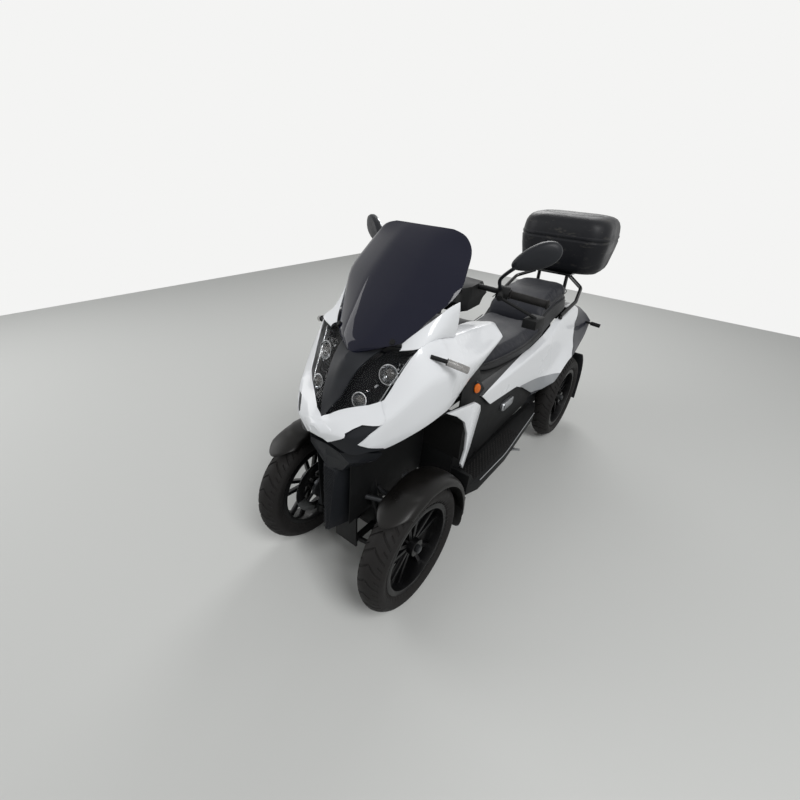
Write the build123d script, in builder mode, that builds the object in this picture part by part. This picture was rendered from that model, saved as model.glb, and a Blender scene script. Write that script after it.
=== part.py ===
from build123d import *
import os
from math import atan2, cos, degrees, radians, sin, sqrt, tan

os.makedirs("parts", exist_ok=True)

# A tilting four-wheel scooter, standing upright on its own wheels with the tilt locked.
# Millimetres. The ground is z = 0, the vehicle faces -Y, and +X is the rider's left.
# The origin is on the ground, in the middle of the footprint.

# Driving dimensions
wheelbase = 1580.0
track = 550.0
tyre_radius = 266.0
tyre_width = 110.0
rim_radius = 178.0
rim_width = 76.0
front_axle_y = -977.0
seat_height = 780.0
passenger_height = 932.0
footboard_height = 345.0
bar_half_width = 372.0
bar_height = 1096.0
screen_top_height = 1345.0
case_length = 430.0
case_width = 546.0
case_height = 330.0
case_wall = 5.0
lid_height = 126.0
panel_thickness = 6.0
axle_radius = 12.0
kingpin_x = 200.0
kingpin_lean = 10.0
column_rake = 25.0

# Clearances
running_gap = 0.05
seat_gap = 0.3
panel_gap = 1.0
moving_gap = 6.0

# Places that follow from the driving dimensions
rear_axle_y = front_axle_y + wheelbase
wheel_x = track / 2
hub_height = tyre_radius
SIDES = (1, -1)


def save(piece, label):
    """Names a finished piece and writes it."""
    piece.part.label = label
    export_step(piece.part, f"parts/{label}.step")


def side_view(points, start, end, mode=Mode.ADD):
    """A plate whose outline is drawn in side view, from x = start to x = end."""
    with BuildSketch(Plane.YZ.offset(start)) as outline:
        with BuildLine():
            Polyline(*points, close=True)
        make_face()
    extrude(outline.sketch, amount=end - start, mode=mode)


def top_view(points, low, high, mode=Mode.ADD):
    """A plate whose outline is drawn from above, from z = low to z = high."""
    with BuildSketch(Plane.XY.offset(low)) as outline:
        with BuildLine():
            Polyline(*points, close=True)
        make_face()
    extrude(outline.sketch, amount=high - low, mode=mode)


def across(station, half):
    """A closed section across the vehicle at one station, from its half outline."""
    mirrored = [(-x, z) for x, z in reversed(half) if x > 0]
    with BuildSketch(Plane.XZ.offset(-station)) as section:
        with BuildLine():
            Polyline(*half, *mirrored, close=True)
        make_face()
    return section.sketch


def hull(stations, mode=Mode.ADD):
    """A body lofted with straight lines through sections across the vehicle."""
    loft([across(station, half) for station, half in stations], ruled=True, mode=mode)


def shrunk(stations, wall, drop=0.0):
    """The same sections moved inward by a wall, and with their lowest points dropped."""
    moved = []
    for station, half in stations:
        floor = min(z for x, z in half)
        points = [(max(x - wall, 0.0), z - wall if z > floor + wall else floor + wall - drop) for x, z in half]
        moved.append((station, points))
    return moved


def level(height, outline):
    """A closed horizontal section at one height, from the outline of its left half."""
    mirrored = [(-x, y) for x, y in reversed(outline) if x > 0]
    with BuildSketch(Plane.XY.offset(height)) as section:
        with BuildLine():
            Polyline(*outline, *mirrored, close=True)
        make_face()
    return section.sketch


def tube(points, radius, bend=0.0):
    """A round bar along straight runs joined by arcs."""
    with BuildLine() as route:
        if bend:
            FilletPolyline(*points, radius=bend)
        else:
            Line(*points)
    with BuildSketch(Plane(origin=route.line @ 0, z_dir=route.line % 0)) as end:
        Circle(radius)
    sweep(end.sketch, path=route.line)


def rod(start, end, radius, mode=Mode.ADD):
    """A straight round bar between two points."""
    way = Vector(*end) - Vector(*start)
    with BuildSketch(Plane(origin=start, z_dir=way)) as face:
        Circle(radius)
    extrude(face.sketch, amount=way.length, mode=mode)


# Wheels: one round tyre and one spoked rim with its brake disc for each corner
bead_height = 14.0
flange_width = 4.0
flange_height = 11.0
barrel_thickness = 9.0
hub_radius = 34.0
hub_half = 34.0
spoke_count = 5
spoke_width = 15.0
spoke_half = 9.0
spoke_fork = 17.0
disc_radius = 125.0
disc_inner_radius = 82.0
disc_thickness = 4.5
disc_offset = 45.0
disc_arm_width = 16.0


def wheel_plane(x, axle_y):
    """The plane of a wheel, seen from the rider's left, at a place across the vehicle."""
    return Plane(origin=(x, axle_y, hub_height), x_dir=(0, 1, 0), z_dir=(1, 0, 0))


def half_section(axle_y, x):
    """A plane through the axle, in which wheel profiles are drawn."""
    return Plane(origin=(x, axle_y, hub_height), x_dir=(1, 0, 0), z_dir=(0, -1, 0))


def make_tyre(x, axle_y, label):
    """A road tyre with a round crown, seated between the flanges of its rim."""
    half = tyre_width / 2
    seat_half = rim_width / 2
    bead = rim_radius + bead_height
    shoulder = tyre_radius - 0.44 * (tyre_radius - rim_radius)
    with BuildPart() as tyre:
        with BuildSketch(half_section(axle_y, x)):
            with BuildLine():
                Line((-seat_half, rim_radius), (seat_half, rim_radius))
                Line((seat_half, rim_radius), (seat_half, bead))
                ThreePointArc((seat_half, bead), (half - 6, (bead + shoulder) / 2), (half, shoulder))
                ThreePointArc((half, shoulder), (0, tyre_radius), (-half, shoulder))
                ThreePointArc((-half, shoulder), (6 - half, (bead + shoulder) / 2), (-seat_half, bead))
                Line((-seat_half, bead), (-seat_half, rim_radius))
            make_face()
        revolve(axis=Axis((x, axle_y, hub_height), (1, 0, 0)))
    save(tyre, label)


def make_rim(x, axle_y, side, label):
    """A cast rim with forked spokes, a bored hub and the brake disc on its inner side."""
    half = rim_width / 2
    disc_x = x - side * disc_offset
    with BuildPart() as rim:
        with BuildSketch(half_section(axle_y, x)):
            with Locations((0, rim_radius - barrel_thickness / 2)):
                Rectangle(rim_width + 2 * flange_width, barrel_thickness)
            for edge in SIDES:
                with Locations((edge * (half + flange_width / 2), rim_radius + flange_height / 2)):
                    Rectangle(flange_width, flange_height)
        revolve(axis=Axis((x, axle_y, hub_height), (1, 0, 0)))
        with BuildSketch(wheel_plane(x, axle_y)):
            Circle(hub_radius)
        extrude(amount=hub_half, both=True)
        reach = rim_radius - barrel_thickness / 2
        with BuildSketch(wheel_plane(x, axle_y)):
            for i in range(spoke_count):
                for fork in SIDES:
                    root = radians(90 + 360 * i / spoke_count + fork * spoke_fork)
                    tip = radians(90 + 360 * i / spoke_count + fork * spoke_fork * 0.7)
                    inner = ((hub_radius - 8) * cos(root), (hub_radius - 8) * sin(root))
                    outer = (reach * cos(tip), reach * sin(tip))
                    slope = degrees(atan2(outer[1] - inner[1], outer[0] - inner[0]))
                    middle = ((inner[0] + outer[0]) / 2, (inner[1] + outer[1]) / 2)
                    length = sqrt((outer[0] - inner[0]) ** 2 + (outer[1] - inner[1]) ** 2)
                    with Locations(Location((middle[0], middle[1], 0), (0, 0, slope))):
                        Rectangle(length, spoke_width)
        extrude(amount=spoke_half, both=True)
        with BuildSketch(wheel_plane(disc_x, axle_y)):
            Circle(disc_radius)
            Circle(disc_inner_radius, mode=Mode.SUBTRACT)
            with PolarLocations(0, spoke_count):
                with Locations((disc_inner_radius / 2, 0)):
                    Rectangle(disc_inner_radius + disc_arm_width / 2, disc_arm_width)
            Circle(hub_radius - 6)
        extrude(amount=disc_thickness / 2, both=True)
        boss = (abs(disc_x - x) + disc_thickness / 2 + hub_half) / 2
        with BuildSketch(wheel_plane(x - side * boss, axle_y)):
            Circle(hub_radius - 6)
        extrude(amount=abs(disc_x - x) + disc_thickness / 2 - boss, both=True)
        with BuildSketch(wheel_plane(x, axle_y)):
            Circle(axle_radius + running_gap)
        extrude(amount=rim_width, both=True, mode=Mode.SUBTRACT)
    save(rim, label)


for end_name, axle_y in (("front", front_axle_y), ("rear", rear_axle_y)):
    for side, side_name in ((1, "left"), (-1, "right")):
        make_tyre(side * wheel_x, axle_y, f"tyre_{end_name}_{side_name}")
        make_rim(side * wheel_x, axle_y, side, f"rim_{end_name}_{side_name}")

# Front knuckles: each carries its wheel's spindle, a caliper and a mudguard, and turns about a kingpin
kingpin_radius = 9.0
upper_arm_height = 405.0
lower_arm_height = 168.0
upright_half = 17.0
upright_width = 46.0
eye_half = 16.0
eye_radius = 19.0
spindle_reach = hub_half + 14.0
nut_radius = 17.0
caliper_length = 92.0
caliper_height = 56.0
pad_gap = 5.5
guard_gap = 34.0
guard_thickness = 3.5
guard_half = 64.0
guard_shift = 4.0
guard_front = 52.0
flap_drop = 190.0


def kingpin_y(height):
    """Where the leaning kingpin passes at a height."""
    return front_axle_y + (height - hub_height) * tan(radians(kingpin_lean))


def make_knuckle(side, label):
    """The upright, its two kingpin eyes, the spindle and its nut, the caliper and the steering arm."""
    pin_x = side * kingpin_x
    inner_disc = wheel_x - disc_offset
    with BuildPart() as knuckle:
        foot = lower_arm_height - eye_half - 4
        head = upper_arm_height + eye_half + 4
        rod((pin_x, kingpin_y(foot), foot), (pin_x, kingpin_y(head), head), kingpin_radius)
        for height, reach in ((lower_arm_height, 1), (upper_arm_height, -1)):
            start = height + reach * (eye_half + moving_gap)
            rod((pin_x, kingpin_y(start), start),
                (pin_x, kingpin_y(hub_height), hub_height), upright_half)
        with BuildSketch(Plane.YZ.offset(side * (inner_disc - moving_gap - disc_thickness / 2))):
            with Locations((front_axle_y, hub_height)):
                Circle(upright_width)
        extrude(amount=-side * 16)
        rod((side * (kingpin_x - 18), front_axle_y, hub_height),
            (side * (wheel_x + spindle_reach), front_axle_y, hub_height), axle_radius)
        with BuildSketch(Plane.YZ.offset(side * (wheel_x + hub_half + seat_gap))):
            with Locations((front_axle_y, hub_height)):
                RegularPolygon(nut_radius, 6)
        extrude(amount=side * 12)
        # The caliper straddles the disc behind the axle
        caliper_y = front_axle_y + disc_radius - 14
        with Locations((side * inner_disc, caliper_y, hub_height + 24)):
            Box(44, caliper_height, caliper_length)
            Box(disc_thickness + 2 * pad_gap, caliper_height * 2, caliper_length * 2, mode=Mode.SUBTRACT)
        with Locations((side * inner_disc, caliper_y + caliper_height / 2 - 6, hub_height + 24)):
            Box(44, 12, caliper_length)
        bracket_x = side * (inner_disc - moving_gap - disc_thickness / 2 - 8)
        with Locations((bracket_x, front_axle_y + 52, hub_height + 24)):
            Box(14, 66, 44)
        # The mudguard bracket stands on the kingpin's upper end
        guard_x = wheel_x - tyre_width / 2 - 12
        top = head + 5
        with Locations((side * (guard_x + kingpin_x) / 2, kingpin_y(top), top)):
            Box(abs(guard_x - kingpin_x) + 2 * kingpin_radius + 8, 30, 10)
        skirt_x = wheel_x + guard_shift - guard_half
        plate_top = hub_height + tyre_radius + guard_gap - 8
        with Locations((side * (guard_x - 3 + skirt_x - seat_gap) / 2, kingpin_y(top), (top + plate_top) / 2)):
            Box(skirt_x - seat_gap - guard_x + 3, 30, plate_top - top)
        # The steering arm points rearward to the tie rod
        rod((side * (kingpin_x - 10), front_axle_y, hub_height + 38),
            (side * (kingpin_x - 46), front_axle_y + 96, hub_height + 38), 9)
    save(knuckle, label)


def make_mudguard(side, label):
    """A thin arch over a front tyre with turned-down edges, and a flap hanging behind the wheel."""
    crown = tyre_radius + guard_gap
    skirt = tyre_radius + 6.0
    centre_x = side * (wheel_x + guard_shift)
    with BuildPart() as guard:
        with BuildSketch(half_section(front_axle_y, centre_x)):
            with BuildLine():
                Polyline((-guard_half, skirt), (-guard_half + 14, crown - 6), (-26, crown), (26, crown),
                         (guard_half - 14, crown - 6), (guard_half, skirt),
                         (guard_half - guard_thickness, skirt), (guard_half - 16, crown - 9),
                         (25, crown - guard_thickness), (-25, crown - guard_thickness),
                         (-guard_half + 16, crown - 9), (-guard_half + guard_thickness, skirt), close=True)
            make_face()
        revolve(axis=Axis((centre_x, front_axle_y, hub_height), (1, 0, 0)), revolution_arc=360)
        # Only the stretch from the front lip over the top to the rear stays
        far = 2 * tyre_radius
        lip = radians(180 - guard_front)
        with BuildSketch(Plane.YZ.offset(centre_x)):
            with BuildLine():
                Polyline((front_axle_y, hub_height), (front_axle_y + far * cos(lip), hub_height + far * sin(lip)),
                         (front_axle_y + far, hub_height + far), (front_axle_y + far, hub_height), close=True)
            make_face()
        extrude(amount=guard_half * 2, both=True, mode=Mode.INTERSECT)
        with Locations((centre_x, front_axle_y + crown - guard_thickness / 2, hub_height - flap_drop / 2 + 4)):
            Box(2 * guard_half - 30, guard_thickness, flap_drop)
    save(guard, label)


for side, side_name in ((1, "left"), (-1, "right")):
    make_knuckle(side, f"knuckle_{side_name}")
    make_mudguard(side, f"front_mudguard_{side_name}")

# Front suspension: two pairs of arms on the front frame, each reaching to its knuckle's kingpin
arm_radius = 10.0
arm_pivot_x = 42.0
arm_spread = 44.0
sleeve_radius = 14.0
pivot_radius = 8.0
plate_half = 58.0
plate_thickness = 8.0
plate_front_y = front_axle_y - arm_spread - sleeve_radius - plate_thickness - 1
plate_rear_y = front_axle_y + arm_spread + sleeve_radius + 1

with BuildPart() as front_arms:
    for side in SIDES:
        for height in (upper_arm_height, lower_arm_height):
            eye = (side * kingpin_x, kingpin_y(height), height)
            lean = (0, eye_half * sin(radians(kingpin_lean)), eye_half * cos(radians(kingpin_lean)))
            below = tuple(Vector(*eye) - Vector(*lean))
            above = tuple(Vector(*eye) + Vector(*lean))
            pivot_x = side * arm_pivot_x
            sleeve_start = (pivot_x, front_axle_y - arm_spread - sleeve_radius, height)
            sleeve_end = (pivot_x, front_axle_y + arm_spread + sleeve_radius, height)
            rod(sleeve_start, sleeve_end, sleeve_radius)
            for leg in SIDES:
                rod((pivot_x, front_axle_y + leg * arm_spread, height), eye, arm_radius)
            rod(below, above, eye_radius)
            rod(below, above, kingpin_radius + running_gap, Mode.SUBTRACT)
            rod(sleeve_start, sleeve_end, pivot_radius + seat_gap, Mode.SUBTRACT)
save(front_arms, "front_arms")

# Front struts: where they stand on the lower arms and where they meet the frame
strut_radius = 18.0
strut_rod_radius = 8.0
front_strut_foot_x = 128.0
front_strut_head_x = 44.0
front_strut_head = 545.0
front_strut_y = front_axle_y + 11

# Frame: the steering head, the front plates that hold the arms, the floor rails and the rear rails
column_radius = 15.0
column_foot = 600.0
head_low = 640.0
head_high = 830.0
head_radius = 25.0
column_top_y = -345.0
rail_x = 146.0
rail_radius = 13.0
floor_height = 292.0
floor_front_y = front_axle_y + 405
rail_neck_x = 58.0
rail_neck_y = front_axle_y + 320
spine_radius = rail_radius + 4
front_cross_y = front_axle_y + 380
front_cross_half = 112.0
rear_rise_y = rear_axle_y - 450
rear_rail_height = 560.0
tail_rail_y = rear_axle_y + 270
tail_rail_height = 700.0


def column_point(height):
    """A point of the steering column's axis at a height."""
    return (0, column_top_y - (bar_height - height) * tan(radians(column_rake)), height)


with BuildPart() as frame:
    rod(column_point(head_low), column_point(head_high), head_radius)
    for plate_y in (plate_front_y, plate_rear_y):
        with Locations((0, plate_y + plate_thickness / 2, (lower_arm_height + front_strut_head) / 2)):
            Box(2 * plate_half, plate_thickness, front_strut_head - lower_arm_height + 50)
    with Locations((0, front_axle_y, (upper_arm_height + front_strut_head + 60) / 2)):
        Box(40, plate_rear_y - plate_front_y, front_strut_head + 20 - upper_arm_height)
    for side in SIDES:
        for height in (upper_arm_height, lower_arm_height):
            rod((side * arm_pivot_x, plate_front_y, height), (side * arm_pivot_x, plate_rear_y + 4, height),
                pivot_radius)
        tube([(side * 30, plate_rear_y + 2, floor_height), (side * rail_neck_x, rail_neck_y, floor_height),
              (side * rail_x, floor_front_y, floor_height),
              (side * rail_x, rear_rise_y, floor_height),
              (side * rail_x, rear_rise_y + 170, rear_rail_height),
              (side * rail_x, tail_rail_y, tail_rail_height)], rail_radius, 60)
    tube([(0, plate_rear_y + 2, front_strut_head - 30), column_point(head_low + 40)], spine_radius)
    tube([column_point(head_low + 60), (0, front_axle_y + 560, 420), (0, rear_rise_y - 20, floor_height + 60)],
         rail_radius + 6, 120)
    for cross_half, cross_y, height in ((front_cross_half, front_cross_y, floor_height),
                                        (rail_x, rear_rise_y - 30, floor_height),
                                        (rail_x, tail_rail_y - 30, tail_rail_height - 8)):
        rod((-cross_half, cross_y, height), (cross_half, cross_y, height), rail_radius - 2)
    with Locations((0, rear_rise_y - 30, floor_height + 30)):
        Box(40, 30, 60)
    for side in SIDES:
        for board_y in (front_axle_y + 470, front_axle_y + 820):
            rod((side * rail_x, board_y, floor_height + 12), (side * 232, board_y, floor_height + 12), 7)
    # The side stand's bracket hangs under the left rail
    with Locations((rail_x + 40, front_axle_y + 640, floor_height - 19)):
        Box(80, 34, 14)
    with Locations((rail_x + 78, front_axle_y + 640, 244)):
        Box(12, 34, 58)
    rod((rail_x + 80, front_axle_y + 640, 240), (rail_x + 126, front_axle_y + 640, 240), 8)
    rod(column_point(head_low - 20), column_point(head_high + 20), column_radius + running_gap, Mode.SUBTRACT)
save(frame, "frame")

# Engine: the heavy block between the rear rails, with its cylinder reaching forward
engine_gap = 0.3
engine_half = rail_x - rail_radius - engine_gap
engine_front_y = rear_axle_y - 400
engine_rear_y = rear_axle_y - 40
engine_low = 215.0
engine_high = 455.0

with BuildPart() as engine:
    side_view([(engine_front_y, engine_low + 80), (engine_front_y + 60, engine_low),
               (engine_rear_y, engine_low), (engine_rear_y + 60, engine_low + 70),
               (engine_rear_y + 40, engine_high - 30), (engine_rear_y - 60, engine_high),
               (engine_front_y + 90, engine_high), (engine_front_y, engine_high - 70)],
              -engine_half, engine_half)
save(engine, "engine")

# Rear arms: each swings from the engine's side and carries a wheel's spindle and a caliper
rear_arm_in = 164.0
rear_arm_out = 196.0
rear_pivot_y = rear_axle_y - 330
rear_pivot_height = 320.0

with BuildPart() as rear_arms:
    for side in SIDES:
        side_view([(rear_pivot_y - 32, rear_pivot_height), (rear_pivot_y, rear_pivot_height + 30),
                   (rear_axle_y - 20, hub_height + 34), (rear_axle_y + 30, hub_height + 20),
                   (rear_axle_y + 38, hub_height - 14), (rear_axle_y, hub_height - 34),
                   (rear_pivot_y, rear_pivot_height - 34)], side * rear_arm_in, side * rear_arm_out)
        rod((side * (engine_half + engine_gap), rear_pivot_y, rear_pivot_height),
            (side * rear_arm_in, rear_pivot_y, rear_pivot_height), 24)
        rod((side * rear_arm_in, rear_axle_y, hub_height),
            (side * (wheel_x + spindle_reach), rear_axle_y, hub_height), axle_radius)
        with BuildSketch(Plane.YZ.offset(side * (wheel_x + hub_half + seat_gap))):
            with Locations((rear_axle_y, hub_height)):
                RegularPolygon(nut_radius, 6)
        extrude(amount=side * 12)
        inner_disc = wheel_x - disc_offset
        caliper_y = rear_axle_y - disc_radius + 14
        with Locations((side * inner_disc, caliper_y, hub_height + 36)):
            Box(44, caliper_height, caliper_length)
            Box(disc_thickness + 2 * pad_gap, caliper_height * 2, caliper_length * 2, mode=Mode.SUBTRACT)
        with Locations((side * inner_disc, caliper_y - caliper_height / 2 + 6, hub_height + 36)):
            Box(44, 12, caliper_length)
        with Locations((side * (rear_arm_out + inner_disc - 18) / 2, caliper_y, hub_height + 30)):
            Box(inner_disc - 10 - rear_arm_out, 50, 40)
save(rear_arms, "rear_arms")

rear_strut_x = 180.0
rear_strut_head_y = rear_axle_y - 130
rear_strut_head = rear_rail_height + (tail_rail_height - rear_rail_height) * 0.27

with BuildPart() as struts:
    for side in SIDES:
        foot = Vector(side * front_strut_foot_x, front_strut_y, lower_arm_height + 2 * arm_radius + 3)
        head = Vector(side * front_strut_head_x, front_strut_y, front_strut_head)
        rod(tuple(foot), tuple(head), strut_rod_radius)
        rod(tuple(foot + (head - foot) * 0.42), tuple(head), strut_radius)
        foot = Vector(side * rear_strut_x, rear_axle_y - 40, hub_height + 46)
        head = Vector(side * rear_strut_x, rear_strut_head_y, rear_strut_head)
        rod(tuple(foot), tuple(head), strut_rod_radius)
        rod(tuple(foot + (head - foot) * 0.3), tuple(foot + (head - foot) * 0.85), strut_radius)
        rod((side * (rail_x + rail_radius + seat_gap), rear_strut_head_y, rear_strut_head),
            (side * (rear_strut_x + 12), rear_strut_head_y, rear_strut_head), 12)
save(struts, "struts")

# Front fairing: one thin skin, lofted through sections, that the nose, the lamps and the covers are cut from.
# Each section is half an outline: ridge, lamp's inner edge, lamp's outer edge, widest crease, lower edge
skin_sections = [
    (front_axle_y - 195, [(0, 792), (14, 790), (28, 784), (45, 768), (30, 742)]),
    (front_axle_y - 167, [(0, 803), (30, 808), (60, 808), (125, 772), (110, 702)]),
    (front_axle_y - 123, [(0, 870), (38, 866), (100, 835), (172, 800), (165, 714)]),
    (front_axle_y - 56, [(0, 979), (58, 955), (165, 880), (215, 850), (195, 712)]),
    (front_axle_y + 50, [(0, 1010), (90, 1010), (205, 1033), (262, 930), (240, 745)]),
    (front_axle_y + 139, [(0, 1018), (110, 1020), (218, 1045), (285, 940), (265, 775)]),
    (front_axle_y + 202, [(0, 1018), (110, 1020), (216, 1030), (288, 935), (270, 793)]),
    (front_axle_y + 377, [(0, 1010), (100, 1012), (205, 1005), (280, 925), (255, 830)]),
    (front_axle_y + 595, [(0, 960), (90, 962), (200, 985), (250, 935), (232, 880)]),
]
front_y = skin_sections[0][0]
lamp_split_y = front_axle_y - 56
cockpit_y = front_axle_y + 50
fairing_rear_y = front_axle_y + 595
far = 700.0
lamp_outline = [(8, front_axle_y - 164), (38, front_axle_y - 123), (58, lamp_split_y), (90, cockpit_y),
                (205, cockpit_y), (165, lamp_split_y), (130, front_axle_y - 86), (30, front_axle_y - 157)]
stem_hole = 44.0


def flipped(points):
    """The same outline on the other side."""
    return [(-x, y) for x, y in points]


def skin():
    """The whole front skin, open below."""
    hull(skin_sections)
    hull(shrunk(skin_sections, panel_thickness), Mode.SUBTRACT)
    lower = [(station, [(0, half[-1][1] + 20), (half[-1][0] - panel_thickness, half[-1][1] + 20),
                        (half[-1][0] - panel_thickness, 600), (0, 600)]) for station, half in skin_sections]
    hull(lower, Mode.SUBTRACT)


with BuildPart() as front_skin:
    skin()

with BuildPart() as headlights:
    add(front_skin.part)
    with BuildSketch(Plane.XY.offset(700)) as lenses:
        for outline in (lamp_outline, flipped(lamp_outline)):
            with BuildLine():
                Polyline(*outline, close=True)
            make_face()
    extrude(lenses.sketch, amount=500, mode=Mode.INTERSECT)
save(headlights, "headlights")

ridge_outline = [(0, front_axle_y - 168), (8, front_axle_y - 164), (38, front_axle_y - 123),
                 (58, lamp_split_y), (90, cockpit_y), (110, cockpit_y + 89)]
cover_outline = [(90, cockpit_y), (205, cockpit_y), (204, cockpit_y + 30), (196, cockpit_y + 152),
                 (150, front_axle_y + 377), (110, fairing_rear_y + 1)]


def both_sides(outline):
    """A closed outline from its left half."""
    return [*outline, *reversed(flipped(outline))]


def seen_from_above(outlines, low, high, mode):
    """Plates of several outlines drawn from above, added to or cut from the current piece."""
    with BuildSketch(Plane.XY.offset(low)) as shapes:
        for outline in outlines:
            with BuildLine():
                Polyline(*outline, close=True)
            make_face()
    extrude(shapes.sketch, amount=high - low, mode=mode)


ridge = both_sides(ridge_outline)[:-1]
lamps = [lamp_outline, flipped(lamp_outline)]

# White nose below the lamps, notched on each side above the fairing's forward point
notch_y = front_axle_y - 88
notch_height = 811.0
with BuildPart() as nose_panel:
    add(front_skin.part)
    seen_from_above([*lamps, ridge], 600, 1200, Mode.SUBTRACT)
    side_view([(front_y - 50, 600), (front_y - 50, 1000), (lamp_split_y, 1000), (lamp_split_y, 850),
               (notch_y, notch_height), (front_axle_y - 158, 776), (front_axle_y - 172, 735),
               (front_axle_y - 176, 600)], -far, far, Mode.INTERSECT)
save(nose_panel, "nose_panel")

# White side fairings, each with a pointed front end below the notch, and the deflectors beside the screen
fairing_outline = [(lamp_split_y, 1200), (lamp_split_y, 850), (notch_y + 4, notch_height - 6),
                   (front_axle_y - 153, 750), (front_axle_y - 71, 700), (front_axle_y + 139, 770),
                   (front_axle_y + 202, 790), (front_axle_y + 303, 852), (front_axle_y + 417, 888),
                   (fairing_rear_y, 930), (fairing_rear_y, 1200)]
deflector_in = 212.0
with BuildPart() as side_fairings:
    add(front_skin.part)
    seen_from_above([*lamps, both_sides(cover_outline), ridge], 600, 1200, Mode.SUBTRACT)
    side_view(fairing_outline, -far, far, Mode.INTERSECT)
    for side in SIDES:
        side_view([(front_axle_y + 48, 1036), (front_axle_y + 110, 1096), (front_axle_y + 214, 1138),
                   (front_axle_y + 262, 1118), (front_axle_y + 247, 1020), (front_axle_y + 150, 1036)],
                  side * deflector_in, side * (deflector_in + panel_thickness))
save(side_fairings, "side_fairings")

# Black covers: the ridge between the lamps, and the cockpit with its hole round the steering column
with BuildPart() as cockpit_cover:
    add(front_skin.part)
    seen_from_above([both_sides(cover_outline), ridge], 740, 1200, Mode.INTERSECT)
    rod(column_point(950), column_point(1080), stem_hole, Mode.SUBTRACT)
save(cockpit_cover, "cockpit_cover")

# Dark beak under the nose, and the narrow snout with its mesh below it
beak_low = 580.0
beak_high = 684.0
snout_low = 292.0
snout_rear_y = plate_front_y - seat_gap

with BuildPart() as beak:
    loft([level(beak_low, [(0, front_axle_y - 149), (50, front_axle_y - 131), (78, snout_rear_y), (0, snout_rear_y)]),
          level(640, [(0, front_axle_y - 158), (95, front_axle_y - 140), (150, snout_rear_y), (0, snout_rear_y)]),
          level(beak_high, [(0, front_axle_y - 154), (70, front_axle_y - 160), (180, snout_rear_y),
                            (0, snout_rear_y)])], ruled=True)
    top_view([(-140, snout_rear_y), (-140, front_axle_y - 76), (-84, front_axle_y - 130),
              (84, front_axle_y - 130), (140, front_axle_y - 76), (140, snout_rear_y)], beak_high, beak_high + 74)
save(beak, "beak")

with BuildPart() as snout:
    loft([level(snout_low, [(0, front_axle_y - 172), (9, front_axle_y - 169), (44, snout_rear_y), (0, snout_rear_y)]),
          level(beak_low - seat_gap, [(0, front_axle_y - 145), (30, front_axle_y - 142), (74, snout_rear_y),
                                      (0, snout_rear_y)])], ruled=True)
save(snout, "snout")

# Tinted windscreen: a thin curved sheet lofted through level sections
screen_thickness = 4.0
screen_levels = [
    (988, 20, -1010, -1002),
    (1034, 146, -985, -908),
    (1100, 186, -914, -838),
    (1173, 230, -835, -759),
    (1289, 200, -706, -652),
    (screen_top_height, 132, -646, -640),
]
screen_points = 7


def screen_section(height, half, centre_y, edge_y):
    """A thin crescent at one height, from its half width and the places of its middle and edges."""
    front = []
    for i in range(screen_points):
        x = half * i / (screen_points - 1)
        front.append((x, centre_y + (edge_y - centre_y) * (x / half) ** 2))
    back = [(x, y + screen_thickness * 1.4) for x, y in reversed(front)]
    with BuildSketch(Plane.XY.offset(height)) as section:
        with BuildLine():
            Polyline(*front, *back, *flipped(list(reversed(back))[1:]), *flipped(list(reversed(front))[:-1]),
                     close=True)
        make_face()
    return section.sketch


with BuildPart() as windscreen:
    loft([screen_section(*row) for row in screen_levels], ruled=True)
save(windscreen, "windscreen")

# Rear body skin: sections over the rear wheels, from which the white bands and the black tail are cut
seat_low = 699.0
tail_y = rear_axle_y + 351
deck_half = 150.0
tail_cover_front_y = rear_axle_y + 150
rear_sections = [
    (front_axle_y + 507, [(0, 699), (200, 699), (240, 688), (243, 600), (241, 540)]),
    (front_axle_y + 611, [(0, 699), (198, 699), (238, 686), (243, 604), (241, 530)]),
    (rear_axle_y - 681, [(0, 699), (196, 699), (234, 688), (246, 590), (242, 480)]),
    (rear_axle_y - 440, [(0, 699), (190, 699), (230, 698), (254, 560), (250, 440)]),
    (rear_axle_y - 300, [(0, 720), (186, 720), (228, 706), (266, 545), (300, 470)]),
    (rear_axle_y - 231, [(0, 736), (186, 736), (226, 714), (270, 545), (310, 480)]),
    (rear_axle_y - 90, [(0, 778), (182, 778), (216, 766), (268, 580), (312, 542)]),
    (rear_axle_y + 40, [(0, 792), (176, 792), (212, 782), (264, 620), (308, 556)]),
    (tail_cover_front_y, [(0, 796), (172, 796), (208, 778), (258, 660), (298, 574)]),
    (rear_axle_y + 260, [(0, 792), (164, 792), (204, 770), (252, 704), (292, 620)]),
    (tail_y, [(0, 772), (150, 772), (196, 760), (246, 726), (282, 690)]),
]
band_rear = [(rear_axle_y + 295, 850), (rear_axle_y + 290, 772), (rear_axle_y + 151, 706), (rear_axle_y + 66, 592),
             (rear_axle_y - 90, 500), (rear_axle_y - 231, 450), (rear_axle_y - 440, 456)]
band_outline = [(front_axle_y + 507, 850), (front_axle_y + 507, 692), (front_axle_y + 611, 607),
                (front_axle_y + 899, 585), (rear_axle_y - 590, 545), *reversed(band_rear)]
seat_opening = [(186, -far), (186, tail_cover_front_y), (deck_half, tail_cover_front_y), (deck_half, 2 * far)]

with BuildPart() as rear_skin:
    hull(rear_sections)
    hull(shrunk(rear_sections, panel_thickness), Mode.SUBTRACT)
    under = [(station, [(0, half[-1][1] + 30), (half[-1][0] - panel_thickness, half[-1][1] + 12),
                        (half[-1][0] - panel_thickness, 380), (0, 380)]) for station, half in rear_sections]
    hull(under, Mode.SUBTRACT)

with BuildPart() as side_bands:
    add(rear_skin.part)
    seen_from_above([both_sides(seat_opening)], 400, 900, Mode.SUBTRACT)
    side_view(band_outline, -far, far, Mode.INTERSECT)
save(side_bands, "side_bands")

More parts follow.
